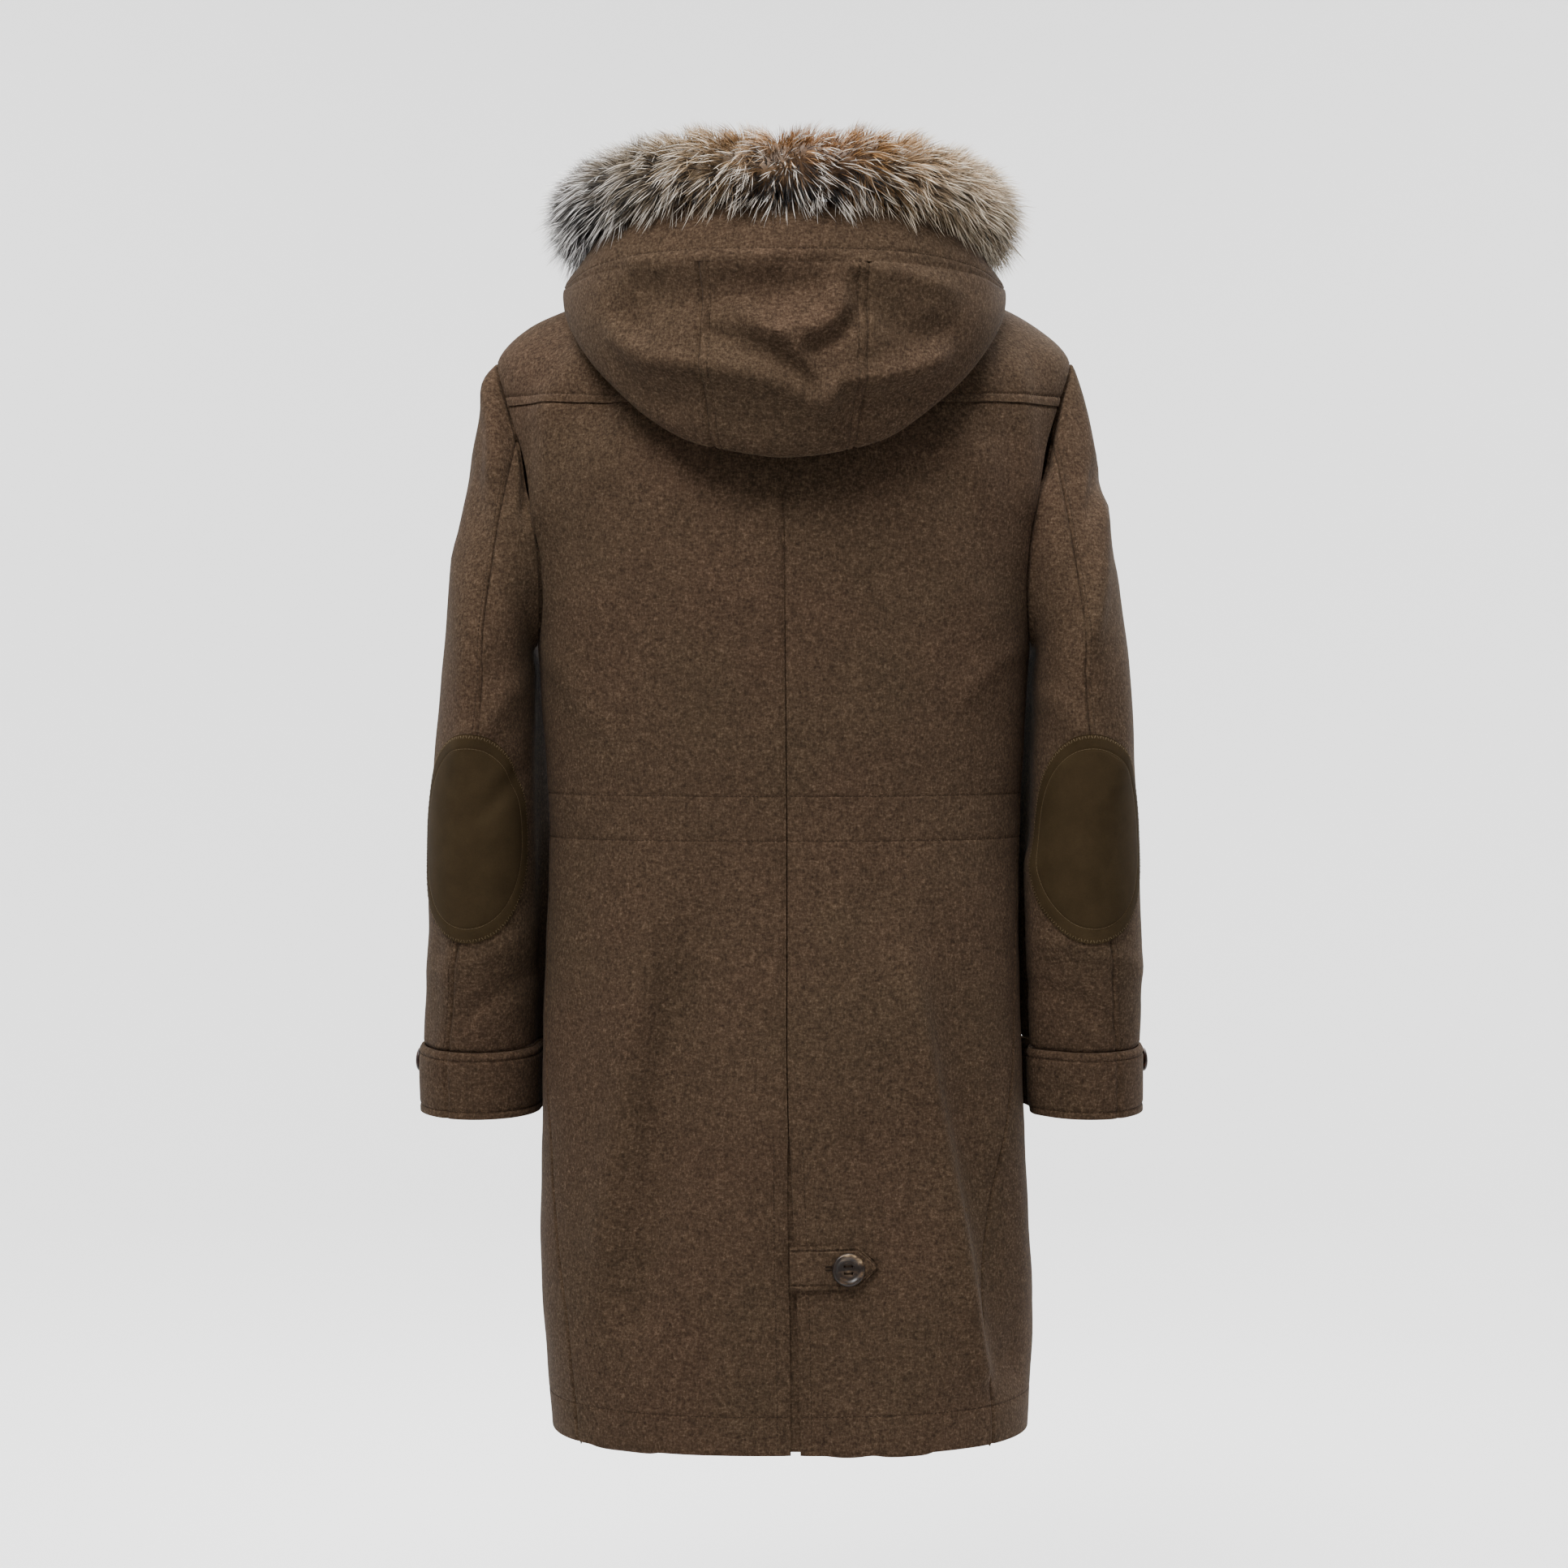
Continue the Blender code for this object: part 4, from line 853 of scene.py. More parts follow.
def horn_material(name, tint):
    """Polished horn: near black, with tan and grey streaks that run through it."""
    look = Look(name)
    place = look.place()
    streak = look.noise(place, 130, 4, 0.6, (0.35, 1.0, 1.6), (0.2, 0.4, 0.3))
    fine = look.noise(place, 700, 2, 0.5, (0.3, 1.0, 1.3), (0.2, 0.4, 0.3))
    colour = look.ramp(streak, (0.30, (0.006, 0.004, 0.003)), (0.52, (0.014, 0.008, 0.005)),
                       (0.62, (0.070, 0.042, 0.022)), (0.70, (0.300, 0.210, 0.120)))
    colour = look.times(colour, look.ramp(fine, (0.35, 0.75), (0.65, 1.2)))
    look.surface({"Base Color": look.times(colour, (*tint, 1)), "Roughness": 0.36,
                  "Specular IOR Level": 0.30, "Coat Weight": 0.06, "Coat Roughness": 0.20})
    return look.material


def thread_material(name, colour):
    look = Look(name)
    twist = look.noise(look.place(), 2200, 1, 0.5)
    shade = look.ramp(twist, (0.35, [c * 0.7 for c in colour]),
                      (0.65, [c * 1.25 for c in colour]))
    look.surface({"Base Color": shade, "Roughness": 0.85, "Specular IOR Level": 0.08})
    return look.material


def hair_material():
    """The fur's colours with their painted shade, stored on its points, with a slight
    variation.
    """
    look = Look("fur_hair")
    pelt = look.nodes.new("ShaderNodeAttribute")
    pelt.attribute_name = "pelt"
    vary = look.ramp(look.noise(look.place(), 300, 2, 0.5), (0.3, 0.85), (0.7, 1.1))
    look.surface({"Base Color": look.times(pelt.outputs["Color"], vary),
                  "Roughness": 0.55, "Specular IOR Level": 0.35})
    return look.material


WOOL = wool_material()
SUEDE = suede_material()
HORN = horn_material("dark_horn", (1.0, 1.0, 1.0))
RED_HORN = horn_material("red_horn", (1.0, 0.50, 0.42))
THREAD = thread_material("brown_thread", (0.021, 0.0130, 0.0078))
PATCH_THREAD = thread_material("olive_thread", (0.085, 0.060, 0.032))


# ---- Body -----------------------------------------------------------------------------
SIDES = ((1, "left"), (-1, "right"))        # the wearer's


def dressed_piece(node):
    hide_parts(node)


HEM_STITCH = -0.935
WAIST_STITCHES = (-0.4355, -0.472)
TOPSTITCH = 0.007           # from a seam to the row beside it
EDGE_ROW = 0.006            # from a cut edge to the row beside it
PLACKET = 0.048             # from the left front's edge to its straight row
BACK_WIDTH = 0.30           # of one back panel, round its face
YOKE_WIDTH = 0.26           # of half the yoke
FRONT_WIDTH = 0.36
FRONT_OVER = 0.0016         # of the left front past the right one
ROW_END = 0.004             # from the end of a row to the piece's own edge

# Steps of each shell's grid, across and along, before more are set beside its seams.
BACK_GRID = (60, 150)
YOKE_GRID = (110, 34)
FRONT_GRID = (60, 125)
UNDERLAP_GRID = (12, 60)


def seam(axis, at, span):
    """A seam at a piece's edge; span turns metres into the grid's own units."""
    return Line(axis, at, SEAM_WIDTH / span, SEAM_DEPTH)


def stitch_line(axis, at, span, depth=STITCH_DEPTH):
    return Line(axis, at, STITCH_WIDTH / span, depth)


STITCH_ROWS = []            # (face, across, along, facing) of each row of topstitching
PATCH_FACES = []            # (face, facing) of each elbow patch
BUTTON_THREADS = []         # (middle, turn, radius, thickness) of each button


def sew(face, across, along, facing):
    """Note a row of topstitching, between two places across and two along a face."""
    STITCH_ROWS.append((face, across, along, facing))


def levels_round():
    """Runs of the hem, and of the rows of stitches that go round the body."""
    hem, *levels = [float(run_at_height(z))
                    for z in (BODY[0].side_z, HEM_STITCH, *WAIST_STITCHES)]
    return hem, levels


def make_back_panels():
    hem, levels = levels_round()
    for side, word in SIDES:
        lines = [seam("a", 0.0, BACK_WIDTH), seam("a", 1.0, BACK_WIDTH),
                 Line("b", YOKE_RUN, SEAM_WIDTH, STITCH_DEPTH)]
        lines += [stitch_line("b", level, 1.0, ROW_DEPTH) for level in levels]
        vent = stitch_line("a", TOPSTITCH / BACK_WIDTH, BACK_WIDTH, 0.0)
        face = panel(f"back_{word}",
                     lambda a, b, side=side: back_point(a, b, side), body_relief, -side,
                     lines, (0, 1), (hem, YOKE_RUN), BACK_WIDTH, BACK_GRID, [*lines, vent])
        for level in levels:
            sew(face, (0.004, 0.996), (level, level), -side)
        top = float(run_at_height(VENT_TOP))
        sew(face, (vent.at, vent.at), (hem + ROW_END, top), -side)


def make_underlap():
    """The vent's underlap, behind the slit: a part of the right back."""
    edge = back_point(np.zeros(1), run_at_height(np.array([UNDERLAP["bottom"]])), -1)[0, 0]

    def surface(a, b):
        x = edge - UNDERLAP["start"] + a
        run = run_at_height(b)
        angle = place_at(x, b)[0]
        side = np.where(x > body_column("shift", run), 1.0, -1.0)
        base = body_point(angle, run, side)
        base[..., 1] -= CLOTH + UNDERLAP["clear"]
        return base

    across = steps(UNDERLAP_GRID[0], 0, UNDERLAP["reach"] + UNDERLAP["start"])
    along = steps(UNDERLAP_GRID[1], UNDERLAP["bottom"], UNDERLAP["top"])
    piece = shell("shell_vent_underlap", surface, across, along, -1, WOOL,
                  thick=UNDERLAP["thickness"])


def panel(name, surface, relief, facing, lines, across, along, width, steps_of,
          beside=None):
    """One cloth panel between its ends across and along, dressed. Returns its face."""
    face = finished(surface, facing, relief, lines)
    columns = sampled(*across, steps_of[0], beside or lines, "a")
    rows = sampled(*along, steps_of[1], beside or lines, "b")
    piece = shell("shell_" + name, pulled(face, across, along, width), columns, rows,
                  facing, WOOL)
    dressed_piece(name)
    return face


def pulled(face, across_ends, along_ends, width):
    """The face with its cut edges half a seam gap short of their neighbours."""
    low, high = across_ends
    bottom, top = along_ends
    inset = SEAM_GAP / 2

    def inner(a, b):
        a = low + inset / width + (a - low) * (1 - 2 * inset / (width * (high - low)))
        b = bottom + (b - bottom) * (1 - inset / (top - bottom))
        return face(a, b)
    return inner


YOKE_LAP = 0.0008           # how far the yoke's lower edge stands over the panels
YOKE_LAP_FADE = 0.010       # height over which that goes
YOKE_REACH = 0.23           # from the middle to where its seam meets the armhole
BODY_YOKE_Z = float(body_column("back_z", YOKE_RUN))
SHOULDER_YOKE_Z = float(body_column("side_z", YOKE_RUN))


def yoke_relief(point):
    """Highest at the yoke's turned lower edge, gone a little above its topstitching."""
    out = np.clip(np.abs(point[..., 0]) / YOKE_REACH, 0, 1)
    edge = BODY_YOKE_Z + (SHOULDER_YOKE_Z - BODY_YOKE_Z) * out ** 2
    above = np.clip(point[..., 2] - edge, 0, 1)
    return body_relief(point) + YOKE_LAP * np.exp(-(above / YOKE_LAP_FADE) ** 2)


def yoke_surface(a, b):
    left = back_point(np.abs(a), b, 1)
    right = back_point(np.abs(a), b, -1)
    return np.where((a >= 0)[..., None], left, right)


def make_yoke():
    """The yoke laps over the back panels; its lower edge is turned and topstitched."""
    row = YOKE_RUN + TOPSTITCH
    edges = [seam("a", -1.0, YOKE_WIDTH), seam("a", 1.0, YOKE_WIDTH)]
    stitched = stitch_line("b", row, 1.0)
    face = panel("back_yoke", yoke_surface, yoke_relief, -1,
                 [*edges, stitched], (-1, 1), (YOKE_RUN, RUNS[-1]), YOKE_WIDTH, YOKE_GRID,
                 [*edges, seam("b", YOKE_RUN, 1.0), stitched])
    sew(face, (-0.99, 0.99), (row, row), -1)


def make_fronts():
    hem, levels = levels_round()
    for side, word in SIDES:
        lines = [seam("a", 1.0, FRONT_WIDTH)]
        lines += [stitch_line("b", level, 1.0, ROW_DEPTH) for level in levels]
        rows = []
        first = 0.0
        if word == "left":
            rows = [stitch_line("a", at / FRONT_WIDTH, FRONT_WIDTH)
                    for at in (TOPSTITCH, PLACKET)]
            first = -FRONT_OVER / FRONT_WIDTH
        lines += rows
        face = panel(f"front_{word}",
                     lambda a, b, side=side: front_point(a, b, side), body_relief, side,
                     lines, (first, 1), (hem, RUNS[-1]), FRONT_WIDTH, FRONT_GRID)
        for level in levels:
            sew(face, (0.14, 0.996), (level, level), side)
        for row in rows:
            sew(face, (row.at, row.at), (hem + ROW_END, RUNS[-1] - ROW_END), side)


# ---- Sleeves --------------------------------------------------------------------------
SLEEVE_WIDTH = dict(upper=0.25, under=0.18)
SLEEVE_COLUMNS = dict(upper=46, under=34)
CAP_ROWS = 30
ARM_ROWS = 60
HEAD_ROLL = 0.022           # how far down the sleeve its head draws in to the armhole
CUFF_GRID = (96, 14)
CUFF_SEAM = 0.17            # round the cuff from its outer edge
CUFF_ROUND = 0.3            # its length all round


def make_sleeves():
    end = CAP_END + SLEEVE[0].z - SLEEVE[-1].z
    for side, word in SIDES:
        for part, width in SLEEVE_WIDTH.items():
            lines = [seam("a", 0.0, width), seam("a", 1.0, width),
                     Line("b", 0.0, HEAD_ROLL, SEAM_DEPTH * 1.6), seam("b", end, 1.0)]

            def surface(a, b, side=side, upper=part == "upper"):
                return sleeve_point(sleeve_turn(a, b, upper), b, side)

            face = finished(surface, -side, sleeve_relief, lines)
            across = sampled(0.0, 1.0, SLEEVE_COLUMNS[part], lines, "a")
            cap = sampled(0.0, CAP_END, CAP_ROWS, lines[:3], "b")
            arm = sampled(CAP_END, end, ARM_ROWS, lines, "b")
            name = f"sleeve_{word}_{part}"
            piece = shell("shell_" + name, pulled(face, (0, 1), (0.0, end), width), across,
                          cap + arm[1:], -side, WOOL)
            dressed_piece(name)
            if part == "upper":
                row = 1 - TOPSTITCH / width
                sew(face, (row, row), (0.1, end - 0.003), -side)
        make_cuff(side, word)
        make_patch(side, word)


def cuff_point(turn, down, side):
    """The cuff hangs straight on from the sleeve's end, standing CUFF_FLARE off it."""
    z = SLEEVE[-1].z
    point = sleeve_ring(turn, np.full_like(turn, z), side, CUFF_FLARE)
    point[..., 2] -= down
    point[..., 1] -= down * CUFF_LEAN
    return point


def make_cuff(side, word):
    lines = [seam("b", SEAM_GAP / 2, 1.0), stitch_line("b", TOPSTITCH, 1.0),
             stitch_line("b", CUFF_HEIGHT - EDGE_ROW, 1.0),
             seam("a", CUFF_SEAM, CUFF_ROUND)]
    face = finished(lambda a, b: cuff_point(a, b, side), -side, sleeve_relief, lines)
    turns = sampled(0.0, 1.0, CUFF_GRID[0], lines, "a")[:-1]
    downs = sampled(SEAM_GAP / 2, CUFF_HEIGHT, CUFF_GRID[1], lines, "b")
    piece = shell(f"shell_cuff_{word}", face, turns, downs, -side, WOOL, ring=True)
    dressed_piece(f"cuff_{word}")
    for line in lines[1:3]:
        sew(face, (0.0, 1.0), (line.at, line.at), -side)


PATCH_RINGS = (0.004, 0.12, 0.25, 0.4, 0.55, 0.68, 0.78, 0.83, 0.845, 0.86, 0.875, 0.89,
               0.93, 0.955, 0.97, 0.985, 1.0)
PATCH_SPOKES = 96
PATCH_ROW = 0.86            # the inner row of stitches, as a share of the way out
PATCH_ROW_DEPTH = 0.0006
PATCH_RIM = 0.955           # where the patch rounds off to its edge


def make_patch(side, word):
    """The oval suede elbow patch, with a blanket stitch round it and a row inside."""
    def spread(a, b):
        turn = PATCH_PLACE[word] + a * np.cos(b) * PATCH_HALF_TURN
        z = PATCH_HEIGHT + a * np.sin(b) * PATCH_LENGTH / 2
        return turn, CAP_END + SLEEVE[0].z - z

    def sleeve(t, d):
        base = sleeve_point(t, d, side)
        normal = outward(lambda u, v: sleeve_point(u, v, side), t, d, -side)
        return base + normal * sleeve_relief(base)[..., None]

    def normal_at(a, b):
        return outward(lambda t, d: sleeve_point(t, d, side), *spread(a, b), -side)

    def face(a, b):
        edge = np.clip((a - PATCH_RIM) / (1 - PATCH_RIM), 0, 1)
        row = np.exp(-((a - PATCH_ROW) / 0.012) ** 2) * PATCH_ROW_DEPTH
        high = OVERLAY_LIFT + PATCH_THICKNESS * np.sqrt(1 - 0.75 * edge ** 2) - row
        return sleeve(*spread(a, b)) + normal_at(a, b) * high[..., None]

    a, b = grid(PATCH_RINGS, [2 * pi * i / PATCH_SPOKES for i in range(PATCH_SPOKES)])
    under = sleeve(*spread(a, b)) + normal_at(a, b) * (OVERLAY_LIFT * 0.5)
    piece = disc_piece(f"patch_{word}", face(a, b), under, SUEDE)
    dressed_piece(f"elbow_patch_{word}")
    PATCH_FACES.append((face, -side))


def disc_piece(name, top, under, look):
    """A closed disc from two grids whose rows go round and columns go out."""
    spokes, rings = top.shape[:2]
    skin = grid_faces(rings, spokes, True)
    points = [np.swapaxes(side, 0, 1).reshape(-1, 3) for side in (top, under)]
    count = spokes * rings
    faces = [*skin.tolist(), *(skin[:, ::-1] + count).tolist()]
    rim = (rings - 1) * spokes
    for i in range(spokes):
        j = (i + 1) % spokes
        faces.append([rim + i, rim + i + count, rim + j + count, rim + j])
    faces.append(list(range(spokes))[::-1])
    faces.append([i + count for i in range(spokes)])
    return mesh_piece(name, np.concatenate(points).tolist(), faces, look)


# ---- Hood -----------------------------------------------------------------------------
HOOD_LENGTH = 0.34          # along a profile, from the neckline to the edge
HOOD_DEGREE = 0.28 / 90     # width of the bag for each degree round the neck
RIM_DEGREE = 0.0032         # the same that its seam gaps are worked out with
DOUBLE_ROW = 0.0068         # from a seam of the middle panel to the row beside it
CENTRE_GRID = (56, 84)
SIDE_GRID = (72, 84)
BAND_GRID = (200, 14)


def hood_panel(name, lines, across, along, steps_of):
    return panel(name, hood_point, hood_relief, -1, lines, across, along, RIM_DEGREE,
                 steps_of)


def make_hood():
    half = HOOD_CENTRE_PANEL
    inset = DOUBLE_ROW / HOOD_DEGREE
    bag = (0.0, RIM_SHARE)
    rim = Line("b", RIM_SHARE, SEAM_WIDTH / HOOD_LENGTH, STITCH_DEPTH)
    rows = [stitch_line("a", at, HOOD_DEGREE) for at in (-half + inset, half - inset)]
    lines = [seam("a", -half, HOOD_DEGREE), seam("a", half, HOOD_DEGREE), rim, *rows]
    face = hood_panel("hood_centre", lines, (-half, half), bag, CENTRE_GRID)
    for row in rows:
        sew(face, (row.at, row.at), (0.46, RIM_SHARE - 0.006), -1)
    for name, low, high in (("hood_left", half, HOOD_END), ("hood_right", -HOOD_END, -half)):
        lines = [seam("a", low, HOOD_DEGREE), seam("a", high, HOOD_DEGREE), rim]
        hood_panel(name, lines, (low, high), bag, SIDE_GRID)
    row = RIM_SHARE + TOPSTITCH / HOOD_LENGTH
    lines = [rim, stitch_line("b", row, HOOD_LENGTH, ROW_DEPTH)]
    face = hood_panel("hood_band", lines, (-HOOD_END, HOOD_END),
                      (RIM_SHARE, 1.0), BAND_GRID)
    sew(face, (-120, 120), (row, row), -1)


# ---- Fur --------------------------------------------------------------------------------
# The ruff is six lengths of long fur on a soft roll. Colours run along it and through its
# depth: where (degrees from centre back, + to the wearer's left), the underfur's colour,
# the guard hairs' middle and their tips, and how much of it is dark.
Pelt = namedtuple("Pelt", "angle under middle tip dark")
PELTS = (
    Pelt(-172, (0.26, 0.20, 0.14), (0.30, 0.23, 0.15), (0.64, 0.56, 0.44), 0.35),
    Pelt(-85, (0.20, 0.15, 0.10), (0.32, 0.24, 0.15), (0.62, 0.53, 0.40), 0.40),
    Pelt(-62, (0.32, 0.23, 0.15), (0.48, 0.36, 0.23), (0.70, 0.60, 0.46), 0.25),
    Pelt(-42, (0.36, 0.25, 0.15), (0.54, 0.39, 0.24), (0.72, 0.60, 0.45), 0.22),
    Pelt(-25, (0.34, 0.17, 0.06), (0.46, 0.25, 0.09), (0.72, 0.60, 0.46), 0.55),
    Pelt(-10, (0.28, 0.13, 0.05), (0.40, 0.20, 0.08), (0.80, 0.73, 0.65), 0.85),
    Pelt(2, (0.36, 0.19, 0.08), (0.50, 0.28, 0.12), (0.80, 0.73, 0.65), 0.80),
    Pelt(16, (0.38, 0.24, 0.12), (0.54, 0.36, 0.19), (0.76, 0.66, 0.54), 0.60),
    Pelt(38, (0.22, 0.17, 0.11), (0.33, 0.26, 0.18), (0.66, 0.60, 0.52), 0.50),
    Pelt(56, (0.13, 0.11, 0.09), (0.21, 0.18, 0.15), (0.82, 0.79, 0.76), 0.75),
    Pelt(80, (0.09, 0.08, 0.07), (0.15, 0.13, 0.12), (0.86, 0.84, 0.82), 0.95),
    Pelt(172, (0.12, 0.10, 0.08), (0.18, 0.15, 0.12), (0.72, 0.68, 0.62), 0.60),
)
PELT_SHADE = 0.80
UNDER_ENDS = 0.3            # shares of a hair's length, from its root
BAND_ENDS = (0.2, 0.80)
TIP_STARTS = 0.7
LOW_PAINTED_SHADE = 0.62            # painted shade: how much darker the hair on the ruff's underside is painted
BLACK_FUR = (0.022, 0.019, 0.018)
FUR_SEED = 7
FUR_PIECES = 6
FUR_CORE = 0.62             # the roll under the hair, as a share of the solid's radius
CORE_SINK = 0.6             # how far it drops, as a share of what is left
# painted shade: the roll's colour as a share of the underfur's, darkened to stand for the
# shade deep in the fur
CORE_PAINTED_SHADE = 0.35
CORE_RINGS = 180
CORE_SPOKES = 28
HAIRS = 63000
HAIR_RINGS = 5
HAIR_WIDTH = 0.00074
GUARD_SHARE = 0.30          # of the hairs, the longest and palest
TUFT_ANGLE = 3.2            # degrees along the ruff, and radians round it, of one tuft
TUFT_TURN = 0.45
TUFT_MIX = (7.3, (12.9898, 78.233, 37.719))     # scatter the tufts' directions
HAIR = dict(sink=0.06, tuft_lean=0.34, spread=0.20, droop=0.10, length=0.60, stub=0.004,
            guard_fall=0.30, under_fall=0.16, along=0.30, tuft_comb=0.12, under_width=0.75,
            taper=0.6)
DENSITY_ANGLES = (-110, -80, 80, 110)       # the hair thins towards the throat
DENSITY = (0.35, 0.6, 1.0, 1.0, 0.6, 0.35)


def ruff_frame(angles):
    """Middle, upward and outward directions and radius of the ruff at each angle."""
    edge = hood_point(angles, np.ones_like(angles))
    below = hood_point(angles, np.full_like(angles, BAND_SHARE))
    rise = unit(edge - below)
    rise[:, 2] += FUR_UPRIGHT
    rise = unit(rise)
    ahead = unit(hood_point(angles + 0.5, np.ones_like(angles)) - edge)
    aside = np.cross(ahead, rise)
    radius = read(RUFF, "angle", "radius", np.abs(angles))
    middle = edge + rise * (radius + FUR_CLEAR)[:, None]
    return middle, rise, aside, ahead, radius


def pelt_colours(angles, name):
    knots = column(PELTS, "angle")
    values = np.array(column(PELTS, name))
    if name == "dark":
        return np.interp(angles, knots, values)
    values = values * PELT_SHADE
    return np.stack([np.interp(angles, knots, values[:, i]) for i in range(3)], axis=-1)


def make_fur():
    """Tapering hairs in tufts, combed out and down over an uneven roll darkened with painted
    shade.
    """
    rng = np.random.default_rng(FUR_SEED)
    end = HOOD_END - 1
    look = hair_material()
    core = fur_core(end, look)
    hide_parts("fur_ruff")
    bounds = np.linspace(-end, end, FUR_PIECES + 1)
    places = np.linspace(-end, end, 200)
    weight = np.interp(places, (-end, *DENSITY_ANGLES, end), DENSITY)
    share = np.cumsum(weight) / weight.sum()
    for i in range(FUR_PIECES):
        u = rng.random(HAIRS // FUR_PIECES)
        low, high = np.interp(bounds[i:i + 2], places, share)
        angles = np.interp(low + (high - low) * u, share, places)
        hairs(f"fur_{i + 1}", angles, rng, look)


def fur_core(end, look):
    angles = np.linspace(-end, end, CORE_RINGS)
    middle, rise, aside, _, radius = ruff_frame(angles)
    turn = np.linspace(0, 2 * pi, CORE_SPOKES, endpoint=False)[None, :]
    wave = 1 + 0.06 * np.sin(5 * turn + angles[:, None] * 0.23) \
        + 0.05 * np.sin(3 * turn - angles[:, None] * 0.41)
    size = (radius[:, None] * FUR_CORE * wave)[..., None]
    points = (middle[:, None] + rise[:, None] * (-np.cos(turn)[..., None] * size)
              + aside[:, None] * (np.sin(turn)[..., None] * size))
    points -= rise[:, None] * (radius * (1 - FUR_CORE))[:, None, None] * CORE_SINK
    faces = grid_faces(CORE_RINGS, CORE_SPOKES, True).tolist()
    faces.append(list(range(CORE_SPOKES)))
    faces.append([(CORE_RINGS - 1) * CORE_SPOKES + i for i in range(CORE_SPOKES)][::-1])
    piece = mesh_piece("fur_roll", points.reshape(-1, 3).tolist(), faces, look)
    # painted shade: the roll is the underfur's colour, darkened
    colours = pelt_colours(angles, "under") * CORE_PAINTED_SHADE
    paint(piece, np.repeat(colours, CORE_SPOKES, axis=0))
    return piece


def paint(piece, colours):
    """Store each point's colour on the mesh, for the fur's material."""
    layer = piece.data.color_attributes.new("pelt", "FLOAT_COLOR", "POINT")
    values = np.concatenate([colours, np.ones((len(colours), 1))], axis=1)
    layer.data.foreach_set("color", values.astype(np.float32).ravel())


def hairs(name, angles, rng, look):
    """Flat tapering hairs, each bent from its root outwards, then down."""
    count = len(angles)
    middle, rise, aside, ahead, radius = ruff_frame(angles)
    turn = rng.random(count) * 2 * pi
    out = -np.cos(turn)[:, None] * rise + np.sin(turn)[:, None] * aside
    root = middle + out * (radius * (FUR_CORE - HAIR["sink"]))[:, None]
    root -= rise * (radius * (1 - FUR_CORE) * CORE_SINK)[:, None]
    tuft_at = (np.round(angles / TUFT_ANGLE) * TUFT_ANGLE
               + np.round(turn / TUFT_TURN) * TUFT_MIX[0])
    tuft = np.stack([np.sin(tuft_at * k) for k in TUFT_MIX[1]], axis=-1)
    lean = out + tuft * HAIR["tuft_lean"] + rng.normal(0, HAIR["spread"], (count, 3))
    lean = unit(lean + np.array([0, 0, -HAIR["droop"]]))
    guard = rng.random(count) < GUARD_SHARE
    reach = np.where(guard, 1.0, rng.uniform(0.55, 0.85, count))
    length = radius * HAIR["length"] * reach * rng.uniform(0.85, 1.12, count) \
        + HAIR["stub"]
    fall = np.where(guard, HAIR["guard_fall"], HAIR["under_fall"])[:, None] \
        * np.array([[0, 0, -1.0]])
    comb = ahead * (np.sign(angles) * HAIR["along"])[:, None] + fall \
        + tuft * HAIR["tuft_comb"]
    side_on = unit(np.cross(lean, rng.normal(0, 1, (count, 3))))
    levels = np.linspace(0, 1, HAIR_RINGS)
    width = HAIR_WIDTH * np.where(guard, 1.0, HAIR["under_width"]) \
        * rng.uniform(0.7, 1.3, count)
    rings = []
    for s in levels[:-1]:
        at = root + lean * (length * s)[:, None] + comb * (length * s * s)[:, None]
        half = side_on * (width * (1 - s) ** HAIR["taper"] / 2)[:, None]
        rings += [at - half, at + half]
    rings.append(root + (lean + comb) * length[:, None])
    points = np.stack(rings, axis=1)
    per = points.shape[1]
    base = (np.arange(count) * per)[:, None]
    quads = np.concatenate([base + np.array([[2 * k, 2 * k + 1, 2 * k + 3, 2 * k + 2]])
                            for k in range(HAIR_RINGS - 2)])
    tips = base + np.array([[per - 3, per - 2, per - 1]])
    piece = mesh_piece(name, points.reshape(-1, 3).tolist(), quads.tolist() + tips.tolist(),
                       look)
    paint(piece, hair_colours(angles, turn, guard, rng, levels))


def hair_colours(angles, turn, guard, rng, levels):
    """Root to tip: underfur darkened towards its root as painted shade, the pelt's middle
    colour, then pale guard tips, with a dark band before them low on the ruff; painted shade
    also darkens the hair on the ruff's underside, apart from the guard hairs' tips."""
    count = len(angles)
    under, middle, tip, dark = (pelt_colours(angles, name)
                                for name in ("under", "middle", "tip", "dark"))
    low = np.clip((np.cos(turn) + 0.35) / 0.9, 0, 1)
    shade = rng.uniform(0.62, 1.22, (count, 1))
    banded = (rng.random(count) < dark * (0.15 + 0.95 * low))[:, None]
    colours = []
    for s in levels:
        # painted shade: the underfur darkens towards the root
        colour = under * (0.45 + 0.55 * min(s / 0.4, 1)) if s < UNDER_ENDS else middle
        if BAND_ENDS[0] < s < BAND_ENDS[1]:
            colour = np.where(banded, np.array([BLACK_FUR]), colour)
        if s >= TIP_STARTS:
            colour = np.where(guard[:, None], tip, colour)
        # painted shade on the ruff's underside, heavier where the pelt is dark; the guard
        # hairs' tips keep their colour
        deep = 1 - LOW_PAINTED_SHADE * low[:, None] * dark[:, None]
        row = colour * shade * np.where(guard[:, None] & (s > 0.6), 1.0, deep)
        colours += [row, row]
    return np.clip(np.stack(colours[:-1], axis=1).reshape(-1, 3), 0, 1)


# ---- Pockets, flaps and the vent's tab --------------------------------------------------
PUFF = 0.0012               # how far a double piece swells between its edges
PUFF_EDGE = 0.006           # over this much beside them
POCKET_COLUMNS = 36
CORNER_PART = 0.999         # of a full quarter turn, so that no row shrinks to a point
OVERLAY_CLOTH = CLOTH * 0.9
CORNER_TURNS = (12, 24, 36, 48, 60, 75, 90)     # degrees, of the rows in a rounded corner


